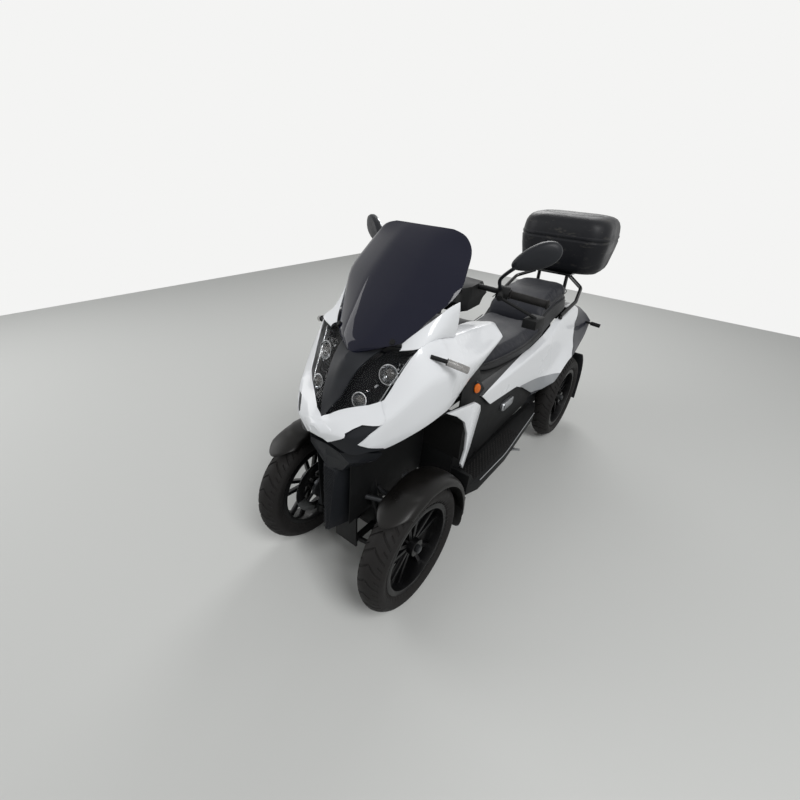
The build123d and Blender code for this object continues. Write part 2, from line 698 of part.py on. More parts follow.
# Black tail: a flank on each side behind the bands, and the cover between them behind the seat
with BuildPart() as tail_panels:
    add(rear_skin.part)
    seen_from_above([both_sides([(186, -far), (186, tail_cover_front_y)])], 400, 900, Mode.SUBTRACT)
    side_view([*band_rear, (rear_axle_y - 440, 300), (2 * far, 300), (2 * far, 850)], -far, far, Mode.INTERSECT)
save(tail_panels, "tail_panels")

# Luggage tub under the seat
tub_front_y = front_axle_y + 787
tub_rear_y = rear_axle_y - 403
tub_half = 160.0
tub_low = 482.0
tub_wall = 3.0


def tub_outline(inset):
    """The tub's plan, moved inward by an inset."""
    return both_sides([(tub_half - inset, tub_front_y + inset), (tub_half - inset, tub_rear_y - inset)])


with BuildPart() as luggage_tub:
    top_view(tub_outline(tub_wall), tub_low, seat_low)
    top_view(tub_outline(2 * tub_wall), tub_low + tub_wall, seat_low + 1, Mode.SUBTRACT)
save(luggage_tub, "luggage_tub")

# Middle body: black side covers, leg shield and tunnel as one thin shell open below, with the arch panel
# behind the front wheels and the hinge that carries the seat's front end
body_front_y = front_axle_y + 340
body_rear_y = rear_axle_y - 278
arch_half = 262.0
seat_hinge_y = front_axle_y + 641
seat_hinge_height = seat_low + 17
hinge_pin_radius = 4.0
hinge_ear_x = 26.0
hinge_ear_radius = 8.0
hinge_ear_thickness = 6.0
body_sections = [
    (body_front_y, [(0, 822), (196, 822), (232, 780), (232, 600), (232, 545), (232, 365), (212, 318)]),
    (front_axle_y + 437, [(0, 836), (190, 836), (228, 790), (232, 600), (232, 545), (232, 365), (212, 318)]),
    (front_axle_y + 515, [(0, 830), (185, 830), (214, 790), (230, 680), (232, 545), (232, 365), (212, 318)]),
    (front_axle_y + 585, [(0, 699), (186, 699), (218, 684), (229, 600), (232, 545), (232, 365), (212, 318)]),
    (rear_axle_y - 443, [(0, 699), (184, 699), (214, 690), (228, 600), (232, 520), (232, 400), (214, 340)]),
    (body_rear_y, [(0, 699), (184, 699), (206, 690), (216, 600), (222, 520), (222, 440), (212, 400)]),
]
spine_start = (0, plate_rear_y + 2, front_strut_head - 30)

with BuildPart() as body_shell:
    hull(body_sections)
    hull(shrunk(body_sections, panel_thickness, 120), Mode.SUBTRACT)
    side_view([(body_front_y, 470), (body_front_y, 640), (front_axle_y + 280, 716),
               (front_axle_y + 190, 769), (front_axle_y + 150, 780), (front_axle_y + 150, 768),
               (front_axle_y + 188, 757), (front_axle_y + 275, 710), (body_front_y - 7, 637),
               (body_front_y - 7, 470)], -arch_half, arch_half)
    top_view(tub_outline(tub_wall), 600, 800, Mode.SUBTRACT)
    rod(spine_start, column_point(head_low + 40), spine_radius + 3, Mode.SUBTRACT)
    rod(column_point(700), column_point(900), stem_hole, Mode.SUBTRACT)
    for side in SIDES:
        rod((side * (hinge_ear_x - hinge_ear_thickness / 2), seat_hinge_y, seat_hinge_height),
            (side * (hinge_ear_x + hinge_ear_thickness / 2), seat_hinge_y, seat_hinge_height), hinge_ear_radius)
        with Locations((side * hinge_ear_x, seat_hinge_y, seat_low + 8)):
            Box(hinge_ear_thickness, 2 * hinge_ear_radius, 18)
    rod((-hinge_ear_x, seat_hinge_y, seat_hinge_height), (hinge_ear_x, seat_hinge_y, seat_hinge_height),
        hinge_pin_radius)
    add(side_bands.part, mode=Mode.SUBTRACT)
    add(side_fairings.part, mode=Mode.SUBTRACT)
save(body_shell, "body_shell")

# White crescents at the outer edges of the arch, from the fairing down to the footboards
with BuildPart() as arch_trims:
    for side in SIDES:
        side_view([(front_axle_y + 176, 766), (front_axle_y + 390, 722), (front_axle_y + 436, 690),
                   (front_axle_y + 446, 662), (front_axle_y + 430, 600), (front_axle_y + 402, 500),
                   (front_axle_y + 364, 408), (front_axle_y + 345, 440), (front_axle_y + 366, 500),
                   (front_axle_y + 356, 590), (front_axle_y + 317, 664), (front_axle_y + 247, 722)],
                  side * (arch_half + seat_gap), side * (arch_half + 12))
save(arch_trims, "arch_trims")

# Footboards: a flat tread with an upturned front end and a narrower rear end
board_in = 232.0
board_out = 338.0
board_drop = 48.0
with BuildPart() as footboards:
    for side in SIDES:
        inner = side * (board_in + seat_gap)
        top_view([(inner, body_front_y), (side * 316, body_front_y + 2), (side * board_out, front_axle_y + 410),
                  (side * board_out, front_axle_y + 680), (side * (board_out - 18), front_axle_y + 880),
                  (side * (board_out - 42), rear_axle_y - 450), (side * 256, rear_axle_y - 330),
                  (inner, rear_axle_y - 330)], footboard_height - board_drop, footboard_height)
        side_view([(body_front_y, footboard_height), (front_axle_y + 400, footboard_height),
                   (front_axle_y + 358, footboard_height + 58), (front_axle_y + 346, footboard_height + 54)],
                  inner, side * 318)
save(footboards, "footboards")

# Seat: the rider's part and the higher passenger's part in one, hinged at its front end
seat_front_y = front_axle_y + 652
seat_step_y = rear_axle_y - 285
seat_rear_y = rear_axle_y + 178
seat_bottom = seat_low + seat_gap
seat_sections = [
    (seat_front_y, [(0, 742), (62, 738), (84, 718), (84, seat_bottom)]),
    (seat_front_y + 110, [(0, 764), (104, 760), (146, 730), (156, seat_bottom)]),
    (seat_front_y + 330, [(0, seat_height - 2), (138, seat_height - 6), (181, 740), (184, seat_bottom)]),
    (seat_front_y + 490, [(0, seat_height), (148, seat_height - 3), (182, 744), (185, seat_bottom)]),
    (seat_step_y - 10, [(0, seat_height + 20), (146, seat_height + 16), (182, 762), (185, 724)]),
    (seat_step_y + 50, [(0, 894), (132, 890), (164, 862), (182, 740)]),
    (rear_axle_y - 90, [(0, 926), (134, 922), (164, 890), (180, 781)]),
    (rear_axle_y + 90, [(0, passenger_height), (130, passenger_height - 4), (158, 896), (170, 799)]),
    (seat_rear_y, [(0, passenger_height - 8), (96, passenger_height - 14), (122, 894), (128, 801)]),
]
seat_barrel_radius = 8.0
with BuildPart() as seat:
    hull(seat_sections)
    barrel_half = hinge_ear_x - hinge_ear_thickness / 2 - panel_gap
    rod((-barrel_half, seat_hinge_y, seat_hinge_height), (barrel_half, seat_hinge_y, seat_hinge_height),
        seat_barrel_radius)
    with Locations((0, (seat_hinge_y + seat_front_y) / 2 + 2, seat_hinge_height)):
        Box(2 * barrel_half, seat_front_y - seat_hinge_y, seat_barrel_radius)
    rod((-hinge_ear_x, seat_hinge_y, seat_hinge_height), (hinge_ear_x, seat_hinge_y, seat_hinge_height),
        hinge_pin_radius + running_gap, Mode.SUBTRACT)
save(seat, "seat")

# Rear rack with its two grab rails, and the deck that carries the top case
deck_height = 962.0
deck_thickness = 12.0
deck_front_y = rear_axle_y + 225
deck_rear_y = rear_axle_y + 440
grab_radius = 11.0
post_y = rear_axle_y + 262
with BuildPart() as rack:
    with Locations((0, (deck_front_y + deck_rear_y) / 2, deck_height + deck_thickness / 2)):
        Box(240, deck_rear_y - deck_front_y, deck_thickness)
    for side in SIDES:
        tube([(side * 202, rear_axle_y - 62, 796), (side * 228, rear_axle_y + 80, 856),
              (side * 210, rear_axle_y + 190, 915), (side * 112, deck_front_y + 24, deck_height - 2)],
             grab_radius, 40)
        rod((side * 202, rear_axle_y - 62, 778.6), (side * 202, rear_axle_y - 62, 800), grab_radius)
        rod((side * 90, post_y, 798), (side * 90, post_y, deck_height + 2), grab_radius)
        with Locations((side * 90, post_y, 798)):
            Box(50, 50, 7)
save(rack, "rack")

# Top case: a tapered tub on the deck and a domed lid hinged at its front edge
case_low = deck_height + deck_thickness + seat_gap
case_front_y = 1243.0 - case_length
case_seam = case_low + case_height - lid_height
case_top = case_low + case_height
case_middle_y = case_front_y + case_length / 2
case_corner = 70.0
hinge_radius = 7.0
lid_hinge_y = case_front_y - 2
lid_hinge_height = case_seam + panel_gap / 2


def case_level(height, inset, wall=0.0):
    """A rounded level section of the case, smaller than its seam by an inset."""
    with BuildSketch(Plane.XY.offset(height)) as section:
        with Locations((0, case_middle_y)):
            RectangleRounded(case_width - 2 * (inset + wall), case_length - 10 - 2 * (inset + wall),
                             case_corner - wall)
    return section.sketch


with BuildPart() as top_case_base:
    loft([case_level(case_low, 34), case_level(case_low + 26, 14), case_level(case_seam, 0)], ruled=True)
    loft([case_level(case_low + case_wall, 34, case_wall), case_level(case_low + 26, 14, case_wall),
          case_level(case_seam, 0, case_wall)], ruled=True, mode=Mode.SUBTRACT)
    for side in SIDES:
        with Locations((side * 120, case_front_y, case_seam - 12)):
            Box(30, 14, 24 - panel_gap)
        rod((side * 105, lid_hinge_y, lid_hinge_height), (side * 135, lid_hinge_y, lid_hinge_height), hinge_radius)
        rod((side * 60, lid_hinge_y, lid_hinge_height), (side * 110, lid_hinge_y, lid_hinge_height), 3)
save(top_case_base, "top_case_base")

lid_low = case_seam + panel_gap
with BuildPart() as top_case_lid:
    loft([case_level(lid_low, 0), case_level(lid_low + 70, 5), case_level(case_top - 18, 24),
          case_level(case_top, 56)], ruled=True)
    loft([case_level(lid_low, 0, case_wall), case_level(lid_low + 70, 5, case_wall),
          case_level(case_top - 18 - case_wall, 26, case_wall), case_level(case_top - case_wall, 60, case_wall)],
         ruled=True, mode=Mode.SUBTRACT)
    for side in SIDES:
        with Locations((side * 80, case_front_y + 1, lid_low + 8)):
            Box(34, 12, 16)
        rod((side * 63, lid_hinge_y, lid_hinge_height), (side * 97, lid_hinge_y, lid_hinge_height), hinge_radius)
        rod((side * 60, lid_hinge_y, lid_hinge_height), (side * 110, lid_hinge_y, lid_hinge_height),
            3 + running_gap, Mode.SUBTRACT)
    with Locations((0, case_front_y + case_length - 4.5, lid_low + 14)):
        Box(70, 9, 28)
    with Locations((0, case_front_y + case_length - 2.3, lid_low + 2)):
        Box(70, 4.6, 44)
save(top_case_lid, "top_case_lid")

# Rear mudguards behind the rear wheels, each on a stay from the rear arm
rear_guard_radius = 300.0
rear_guard_start = 5.0
rear_guard_end = 56.0
rear_flap_drop = 150.0
with BuildPart() as rear_mudguards:
    for side in SIDES:
        guard_x = side * (wheel_x + 2)
        with BuildSketch(wheel_plane(guard_x, rear_axle_y)) as arch:
            Circle(rear_guard_radius + panel_thickness)
            Circle(rear_guard_radius, mode=Mode.SUBTRACT)
            reach = 2 * tyre_radius
            with BuildLine():
                Polyline((0, 0), (reach * cos(radians(rear_guard_start)), reach * sin(radians(rear_guard_start))),
                         (reach * cos(radians(rear_guard_end)), reach * sin(radians(rear_guard_end))), close=True)
            make_face(mode=Mode.INTERSECT)
        extrude(arch.sketch, amount=56, both=True)
        flap_y = rear_axle_y + rear_guard_radius * cos(radians(rear_guard_start)) + panel_thickness / 2
        with Locations((guard_x, flap_y, hub_height + 30 - rear_flap_drop / 2)):
            Box(112, panel_thickness, rear_flap_drop)
        stay_x = rear_arm_in - seat_gap - 7
        rod((side * stay_x, rear_axle_y, hub_height + 6), (side * stay_x, flap_y - 10, hub_height + 16), 7)
        rod((side * (stay_x - 7), flap_y - 10, hub_height + 16), (side * (wheel_x - 20), flap_y - 10, hub_height + 16), 8)
save(rear_mudguards, "rear_mudguards")

# Exhaust: a can behind the engine, joined to it by a short pipe
exhaust_x = -70.0
exhaust_height = 330.0
exhaust_radius = 62.0
with BuildPart() as exhaust:
    rod((exhaust_x, rear_axle_y + 50, exhaust_height), (exhaust_x, rear_axle_y + 318, exhaust_height + 14),
        exhaust_radius)
    rod((exhaust_x, rear_axle_y + 300, exhaust_height + 12), (exhaust_x, rear_axle_y + 336, exhaust_height + 15), 24)
    rod((exhaust_x, rear_axle_y - 20, exhaust_height), (exhaust_x, rear_axle_y + 60, exhaust_height), 26)
    add(engine.part, mode=Mode.SUBTRACT)
save(exhaust, "exhaust")

# Hanger below the tail that carries a blank number plate
lamp_depth = 22.0
plate_hole_radius = 3.2
plate_hole_spacing = 120.0
plate_y = rear_axle_y + 430
plate_height = 520.0
lamp_low = 676.0
lamp_outline_half = [(0, 765.6), (143.5, 765.6), (188, 751), (236, 717), (262, 690), (262, 684), (200, lamp_low),
                     (0, lamp_low)]
signal_radius = 12.0
stalk_radius = 7.0

with BuildPart() as plate_holder:
    side_view([(tail_y - lamp_depth, lamp_low - seat_gap), (tail_y - 1, lamp_low - seat_gap), (plate_y + 2, plate_height),
               (plate_y + 2, plate_height - 90), (plate_y - 8, plate_height - 90), (plate_y - 8, plate_height)],
              -22, 22)
    with Locations((0, plate_y, plate_height - 60)):
        Box(200, 4, 170)
    with BuildSketch(Plane.XZ.offset(2 - plate_y)) as holes:
        with Locations((0, plate_height)):
            with GridLocations(plate_hole_spacing, 0, 2, 1):
                Circle(plate_hole_radius)
    extrude(holes.sketch, amount=-20, both=True, mode=Mode.SUBTRACT)
save(plate_holder, "plate_holder")

# Signal lamps: the red lamp across the tail, and four slim turn signals on short stalks
with BuildPart() as signal_lamps:
    hull([(tail_y - lamp_depth, lamp_outline_half), (tail_y - 1, lamp_outline_half)])
    for side in SIDES:
        rod((side * 236, front_axle_y + 81, 1005), (side * 284, front_axle_y + 112, 991), stalk_radius)
        rod((side * 280, front_axle_y + 109, 992), (side * 338, front_axle_y + 148, 968), signal_radius)
        rod((side * 266, rear_axle_y + 310, 686), (side * 300, rear_axle_y + 310, 684), stalk_radius)
        rod((side * 298, rear_axle_y + 310, 684), (side * 356, rear_axle_y + 310, 680), signal_radius)
    add(side_fairings.part, mode=Mode.SUBTRACT)
    add(tail_panels.part, mode=Mode.SUBTRACT)
save(signal_lamps, "signal_lamps")

# Folded passenger pegs on the sides of the body
peg_y = front_axle_y + 796
peg_height = 517.0
with BuildPart() as pegs:
    for side in SIDES:
        with Locations((side * (board_in + seat_gap + 6), peg_y, peg_height)):
            Box(12, 34, 40)
        with Locations((side * (board_in + seat_gap + 14), peg_y + 34, peg_height + 4)):
            Box(16, 92, 22)
save(pegs, "pegs")

# Handlebar: the steering stem in its head tube, the steering arm below it and the bent bar
stem_radius = column_radius
bar_radius = 11.0
grip_radius = 16.0
grip_start_x = 215.0
bar_y = column_top_y - 4
bar_route = [(100, bar_y + 4, bar_height + 4), (148, bar_y + 16, bar_height - 1), (bar_half_width - 4, -262.0, 1066.0)]
bar_end_radius = 4.0
bar_end_depth = 30.0


def bar_point(x):
    """A point of the outer straight run of the left bar at a distance across the vehicle."""
    inner, outer = Vector(*bar_route[1]), Vector(*bar_route[2])
    return inner + (outer - inner) * ((x - inner.X) / (outer.X - inner.X))


with BuildPart() as handlebar:
    rod(column_point(column_foot), column_point(bar_height), stem_radius)
    rod(column_point(column_foot), column_point(head_low - 6), 22)
    rod(column_point(head_high + 6), column_point(head_high + 22), 22)
    rod(column_point(bar_height - 46), column_point(bar_height + 6), 27)
    with BuildLine() as left_half:
        FilletPolyline(column_point(bar_height), (60, bar_y, bar_height + 2), *bar_route, radius=40)
    with BuildSketch(Plane(origin=left_half.line @ 0, z_dir=left_half.line % 0)) as tube_end:
        Circle(bar_radius)
    sweep(tube_end.sketch, path=left_half.line)
    mirror(about=Plane.YZ)
    for side in SIDES:
        tip = Vector(*bar_route[2])
        way = (tip - Vector(*bar_route[1])).normalized()
        inside = tip - way * bar_end_depth
        outside = tip + way * 4
        rod((side * inside.X, inside.Y, inside.Z), (side * outside.X, outside.Y, outside.Z), bar_end_radius,
            Mode.SUBTRACT)
save(handlebar, "handlebar")

# Black cover and instrument pod round the middle of the bar
with BuildPart() as bar_cover:
    loft([level(1012, [(0, -470), (70, -470), (92, -420), (84, -300), (0, -262)]),
          level(1062, [(0, -508), (84, -504), (104, -440), (96, -272), (0, -244)]),
          level(1112, [(0, -480), (86, -474), (100, -420), (84, -300), (0, -286)])], ruled=True)
    add(handlebar.part, mode=Mode.SUBTRACT)
save(bar_cover, "bar_cover")

# Rubber grips
with BuildPart() as grips:
    for side in SIDES:
        start, end = bar_point(grip_start_x), bar_point(bar_half_width - 8)
        rod((side * start.X, start.Y, start.Z), (side * end.X, end.Y, end.Z), grip_radius)
        rod((side * start.X, start.Y, start.Z), (side * end.X, end.Y, end.Z), bar_radius + seat_gap, Mode.SUBTRACT)
save(grips, "grips")

# Switch boxes, levers and their shrouds
lever_radius = 6.0
with BuildPart() as controls:
    for side in SIDES:
        start, end = bar_point(166), bar_point(grip_start_x - 2)
        middle = (start + end) * 0.5
        way = Vector(end.X - start.X, end.Y - start.Y, end.Z - start.Z)
        rod((side * start.X, start.Y, start.Z), (side * end.X, end.Y, end.Z), 27)
        rod((side * start.X, start.Y, start.Z), (side * end.X, end.Y, end.Z), bar_radius + seat_gap, Mode.SUBTRACT)
        rod((side * middle.X, middle.Y - 20, middle.Z), (side * (middle.X + 14), middle.Y - 58, middle.Z - 10), 12)
        rod((side * (middle.X + 12), middle.Y - 52, middle.Z - 8), (side * (bar_half_width - 26), -322, 1020),
            lever_radius)
        with Locations((side * (bar_half_width - 34), -322, 1004)):
            Box(56, 90, 34)
save(controls, "controls")

# Mirrors on stems from the switch boxes
mirror_middle = (357.0, -486.0, 1272.0)
with BuildPart() as mirrors:
    for side in SIDES:
        base = bar_point(184)
        route = [(side * base.X, base.Y, base.Z + 28.1), (side * base.X, base.Y, base.Z + 54),
                 (side * 290, -468, 1232), (side * 330, -484, 1262)]
        tube(route, 7, 14)
        facing = Plane(origin=(side * mirror_middle[0], mirror_middle[1], mirror_middle[2]),
                       x_dir=(side * 0.8, 0.42, 0.42), z_dir=(side * -0.46, 0.88, 0))
        with BuildSketch(facing) as shell:
            Ellipse(84, 50)
        extrude(shell.sketch, amount=16, both=True)
save(mirrors, "mirrors")

# Side stand on a bracket under the left rail, folded back beneath the footboard
stand_pivot_y = front_axle_y + 640
stand_pivot_height = 240.0
stand_x = 250.0
with BuildPart() as side_stand:
    rod((stand_x - 14, stand_pivot_y, stand_pivot_height), (stand_x + 14, stand_pivot_y, stand_pivot_height), 17)
    tube([(stand_x, stand_pivot_y, stand_pivot_height), (stand_x + 18, stand_pivot_y + 120, stand_pivot_height + 22),
          (stand_x + 46, stand_pivot_y + 206, stand_pivot_height + 24)], 9, 60)
    with Locations((stand_x + 46, stand_pivot_y + 204, stand_pivot_height + 24)):
        Box(44, 30, 10)
    rod((stand_x - 20, stand_pivot_y, stand_pivot_height), (stand_x + 20, stand_pivot_y, stand_pivot_height),
        8 + running_gap, Mode.SUBTRACT)
save(side_stand, "side_stand")
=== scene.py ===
import math

import bmesh
import bpy
from mathutils import Matrix, Vector


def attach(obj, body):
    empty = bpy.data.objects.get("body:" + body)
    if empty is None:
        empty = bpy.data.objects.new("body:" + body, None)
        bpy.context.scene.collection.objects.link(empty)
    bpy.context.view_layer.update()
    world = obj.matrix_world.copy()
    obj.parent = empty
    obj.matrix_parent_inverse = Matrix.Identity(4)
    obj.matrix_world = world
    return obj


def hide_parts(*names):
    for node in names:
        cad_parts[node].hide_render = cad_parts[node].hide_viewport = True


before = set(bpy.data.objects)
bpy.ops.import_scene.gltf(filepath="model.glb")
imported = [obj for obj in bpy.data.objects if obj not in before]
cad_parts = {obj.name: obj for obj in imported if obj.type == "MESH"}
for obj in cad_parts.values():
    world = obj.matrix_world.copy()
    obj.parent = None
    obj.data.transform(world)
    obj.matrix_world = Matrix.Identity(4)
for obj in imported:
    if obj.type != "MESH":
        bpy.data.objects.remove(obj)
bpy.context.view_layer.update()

# The tilting four-wheel scooter's finishes and skins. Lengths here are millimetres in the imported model's
# frame: the ground is z = 0, the scooter faces -Y, +X is the rider's left. MM turns them into metres.
MM = 0.001
FRONT_AXLE = -977.0
REAR_AXLE = 603.0
HUB = 266.0
WHEEL_X = 275.0
SIDES = (1, -1)
SIDE_NAMES = {1: "left", -1: "right"}


# Helpers for meshes
SHARP_ANGLE = 32      # degrees: sharper edges stay crisp, gentler ones are shaded smooth
FLAT_ANGLE = 2.0      # degrees: CAD triangles that lie this flat are merged back into one face


def build(name, points, faces, material, body=None):
    """A mesh object from millimetre points, with its place in its mesh."""
    mesh = bpy.data.meshes.new(name)
    mesh.from_pydata([[c * MM for c in p] for p in points], [], faces)
    mesh.validate()
    return place(name, mesh, material, body)


def place(name, mesh, material, body=None):
    """Links a mesh as an object, gives it its material and lets it ride on a body."""
    piece = bpy.data.objects.new(name, mesh)
    bpy.context.scene.collection.objects.link(piece)
    if material is not None:
        mesh.materials.clear()
        mesh.materials.append(material)
    if body:
        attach(piece, body)
    return piece


def bake(piece):
    """Applies an object's modifiers to its mesh."""
    graph = bpy.context.evaluated_depsgraph_get()
    mesh = bpy.data.meshes.new_from_object(piece.evaluated_get(graph))
    piece.modifiers.clear()
    piece.data = mesh
    return piece


def modify(piece, kind, **settings):
    """Adds a modifier with its settings."""
    modifier = piece.modifiers.new(kind.lower(), kind)
    for key, value in settings.items():
        setattr(modifier, key, value)
    return modifier


def shade(piece, angle=SHARP_ANGLE):
    """Smooth shading that keeps edges sharper than an angle."""
    mesh = piece.data
    mesh.polygons.foreach_set("use_smooth", [True] * len(mesh.polygons))
    mesh.set_sharp_from_angle(angle=math.radians(angle))
    return piece


def outward(piece):
    """Merges doubles and turns every face outward."""
    work = bmesh.new()
    work.from_mesh(piece.data)
    bmesh.ops.remove_doubles(work, verts=work.verts, dist=0.02 * MM)
    bmesh.ops.recalc_face_normals(work, faces=work.faces)
    work.to_mesh(piece.data)
    work.free()
    return piece


def soften(piece, width, segments=2, angle=SHARP_ANGLE):
    """Rounds the edges of a hard piece."""
    modify(piece, "BEVEL", width=width * MM, segments=segments, limit_method="ANGLE",
           angle_limit=math.radians(angle), use_clamp_overlap=True, harden_normals=False)
    bake(piece)
    return shade(piece)


def curve_through(points, steps, closed=False):
    """Points of a smooth curve through the given points."""
    count = len(points)
    spans = count if closed else count - 1
    result = []
    for i in range(spans):
        if closed:
            a, b, c, d = (points[(i + k) % count] for k in (-1, 0, 1, 2))
        else:
            a = points[max(i - 1, 0)]
            b, c = points[i], points[i + 1]
            d = points[min(i + 2, count - 1)]
        for k in range(steps):
            t = k / steps
            result.append(tuple(0.5 * (2 * q + (r - p) * t + (2 * p - 5 * q + 4 * r - s) * t * t
                                       + (3 * q - p - 3 * r + s) * t ** 3)
                                for p, q, r, s in zip(a, b, c, d)))
    if not closed:
        result.append(tuple(points[-1]))
    return result


def smoothed(rows, steps):
    """Rows made denser along a piece, by a smooth curve through each of their columns."""
    columns = [curve_through(column, steps) for column in zip(*rows)]
    return [list(row) for row in zip(*columns)]


def ring_at(y, half):
    """A closed ring across the scooter at a place along it, from its left half of (x, z) pairs."""
    return [(x, y, z) for x, z in half] + [(-x, y, z) for x, z in reversed(half[1:-1])]


def rounded_path(points, share=0.16, steps=2):
    """An open outline of straight runs whose corners are cut a little, so that they catch the light."""
    result = [points[0]]
    for before, corner, after in zip(points, points[1:], points[2:]):
        near = [c + (b - c) * share for b, c in zip(before, corner)]
        far = [c + (a - c) * share for a, c in zip(after, corner)]
        for k in range(steps + 1):
            t = k / steps
            result.append(tuple((1 - t) ** 2 * n + 2 * t * (1 - t) * c + t * t * f
                                for n, c, f in zip(near, corner, far)))
    result.append(points[-1])
    return result


def loft(name, rows, material, body=None, closed=False, caps=False):
    """A surface through rows of points. Closed rows make a tube, and caps shut its ends."""
    wide = len(rows[0])
    points = [p for row in rows for p in row]
    faces = []
    for i in range(len(rows) - 1):
        for j in range(wide if closed else wide - 1):
            k = (j + 1) % wide
            faces.append((i * wide + j, i * wide + k, (i + 1) * wide + k, (i + 1) * wide + j))
    if caps:
        faces.append(tuple(range(wide - 1, -1, -1)))
        faces.append(tuple(range((len(rows) - 1) * wide, len(rows) * wide)))
    return build(name, points, faces, material, body)


def prism(outline, axis, low, high):
    """A closed cutter: an outline in plan (axis z) or in side view (axis x) between two levels."""
    def at(p, level):
        return (p[0], p[1], level) if axis == "z" else (level, p[0], p[1])
    count = len(outline)
    points = [at(p, low) for p in outline] + [at(p, high) for p in outline]
    faces = [tuple(range(count)), tuple(range(2 * count - 1, count - 1, -1))]
    faces += [(i, i + count, (i + 1) % count + count, (i + 1) % count) for i in range(count)]
    return outward(build("cutter", points, faces, None))


def carve(piece, cutter, operation):
    """Cuts a piece by a cutter and removes the cutter."""
    modify(piece, "BOOLEAN", object=cutter, operation=operation, solver="EXACT")
    bake(piece)
    bpy.data.objects.remove(cutter)
    return piece


def copy_of(piece, name):
    """A copy of a piece with its own mesh."""
    twin = bpy.data.objects.new(name, piece.data.copy())
    bpy.context.scene.collection.objects.link(twin)
    return twin


def shifted(outline, amount):
    """A closed outline moved inward by an amount, for the gap between neighbouring panels."""
    area = sum(a[0] * b[1] - b[0] * a[1] for a, b in zip(outline, outline[1:] + outline[:1]))
    turn = 1 if area > 0 else -1
    result = []
    for before, here, after in zip(outline[-1:] + outline[:-1], outline, outline[1:] + outline[:1]):
        one = Vector(here) - Vector(before)
        two = Vector(after) - Vector(here)
        if one.length < 1e-6 or two.length < 1e-6:
            result.append(tuple(here))
            continue
        normal = Vector((-one.y, one.x)).normalized() + Vector((-two.y, two.x)).normalized()
        if normal.length < 0.3:
            result.append(tuple(here))
            continue
        normal *= 2 / normal.length_squared
        moved = Vector(here) + normal * amount * turn
        result.append((moved.x, moved.y))
    return result


def mirrored(outline):
    """A closed outline from its left half, whose first and last points lie on or near the middle."""
    return list(outline) + [(-x, y) for x, y in reversed(outline) if abs(x) > 1e-6]


def from_node(node, material, body, bevel):
    """A CAD piece's own shape with merged faces and rounded edges, which stands for the CAD piece."""
    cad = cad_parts[node]
    mesh = cad.data.copy()
    mesh.transform(cad.matrix_world)
    piece = place(node + "_finished", mesh, material)
    work = bmesh.new()
    work.from_mesh(mesh)
    bmesh.ops.remove_doubles(work, verts=work.verts, dist=0.01 * MM)
    bmesh.ops.dissolve_limit(work, angle_limit=math.radians(FLAT_ANGLE), verts=work.verts, edges=work.edges)
    work.to_mesh(mesh)
    work.free()
    soften(piece, bevel)
    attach(piece, body)
    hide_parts(node)
    return piece


def spin(name, profile, centre, axis, material, body=None, steps=64, closed=True):
    """A round piece: a profile of (along, radius) pairs turned about an axis through a centre."""
    axis = Vector(axis).normalized()
    side = axis.orthogonal().normalized()
    other = axis.cross(side)
    rows = []
    for i in range(steps):
        angle = 2 * math.pi * i / steps
        way = side * math.cos(angle) + other * math.sin(angle)
        rows.append([tuple(Vector(centre) + axis * along + way * radius) for along, radius in profile])
    rows.append(rows[0])
    piece = loft(name, rows, material, body, closed=closed)
    return outward(piece)


def pipe(name, route, radius, material, body=None, steps=6, sides=12, bends=True):
    """A round bar along a smooth route."""
    line = [Vector(p) for p in (curve_through(route, steps) if bends else route)]
    rows = []
    normal = None
    for i, here in enumerate(line):
        way = (line[min(i + 1, len(line) - 1)] - line[max(i - 1, 0)]).normalized()
        normal = way.orthogonal() if normal is None else normal - way * normal.dot(way)
        normal.normalize()
        other = way.cross(normal)
        size = radius(i / (len(line) - 1)) if callable(radius) else radius
        rows.append([tuple(here + (normal * math.cos(a) + other * math.sin(a)) * size)
                     for a in (2 * math.pi * k / sides for k in range(sides))])
    piece = loft(name, rows, material, body, closed=True, caps=True)
    outward(piece)
    return shade(piece, 50)


def join(name, pieces, body):
    """Several pieces as one mesh on one body."""
    work = bmesh.new()
    materials = []
    for piece in pieces:
        own = [m for m in piece.data.materials]
        start = len(work.faces)
        work.from_mesh(piece.data)
        work.faces.ensure_lookup_table()
        for face in work.faces[start:]:
            material = own[face.material_index] if own else None
            if material not in materials:
                materials.append(material)
            face.material_index = materials.index(material)
    mesh = bpy.data.meshes.new(name)
    work.to_mesh(mesh)
    work.free()
    whole = bpy.data.objects.new(name, mesh)
    bpy.context.scene.collection.objects.link(whole)
    for material in materials:
        mesh.materials.append(material)
    for piece in pieces:
        bpy.data.objects.remove(piece)
    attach(whole, body)
    return whole


def paint_where(piece, material, chosen):
    """Gives a material to the faces whose middle, in millimetres, a test chooses."""
    piece.data.materials.append(material)
    index = len(piece.data.materials) - 1
    for face in piece.data.polygons:
        if chosen(*(c / MM for c in face.center)):
            face.material_index = index


# Helpers for materials
PLASTIC_GLINT = 0.22  # specular level of paint and plastic, so that black stays black in the pale surround


def linear(code):
    """A linear colour from an sRGB hex value such as 1a2b3c."""
    channels = [int(code[i:i + 2], 16) / 255 for i in (0, 2, 4)]
    return [c / 12.92 if c <= 0.04045 else ((c + 0.055) / 1.055) ** 2.4 for c in channels] + [1.0]


def node(tree, kind, settings=None, links=None):
    """Adds a node, sets its properties and inputs, and links its inputs from other nodes' outputs."""
    made = tree.nodes.new(kind)
    for key, value in (settings or {}).items():
        if isinstance(key, str) and hasattr(made, key):
            setattr(made, key, value)
        else:
            made.inputs[key].default_value = value
    for key, source in (links or {}).items():
        tree.links.new(source, made.inputs[key])
    return made


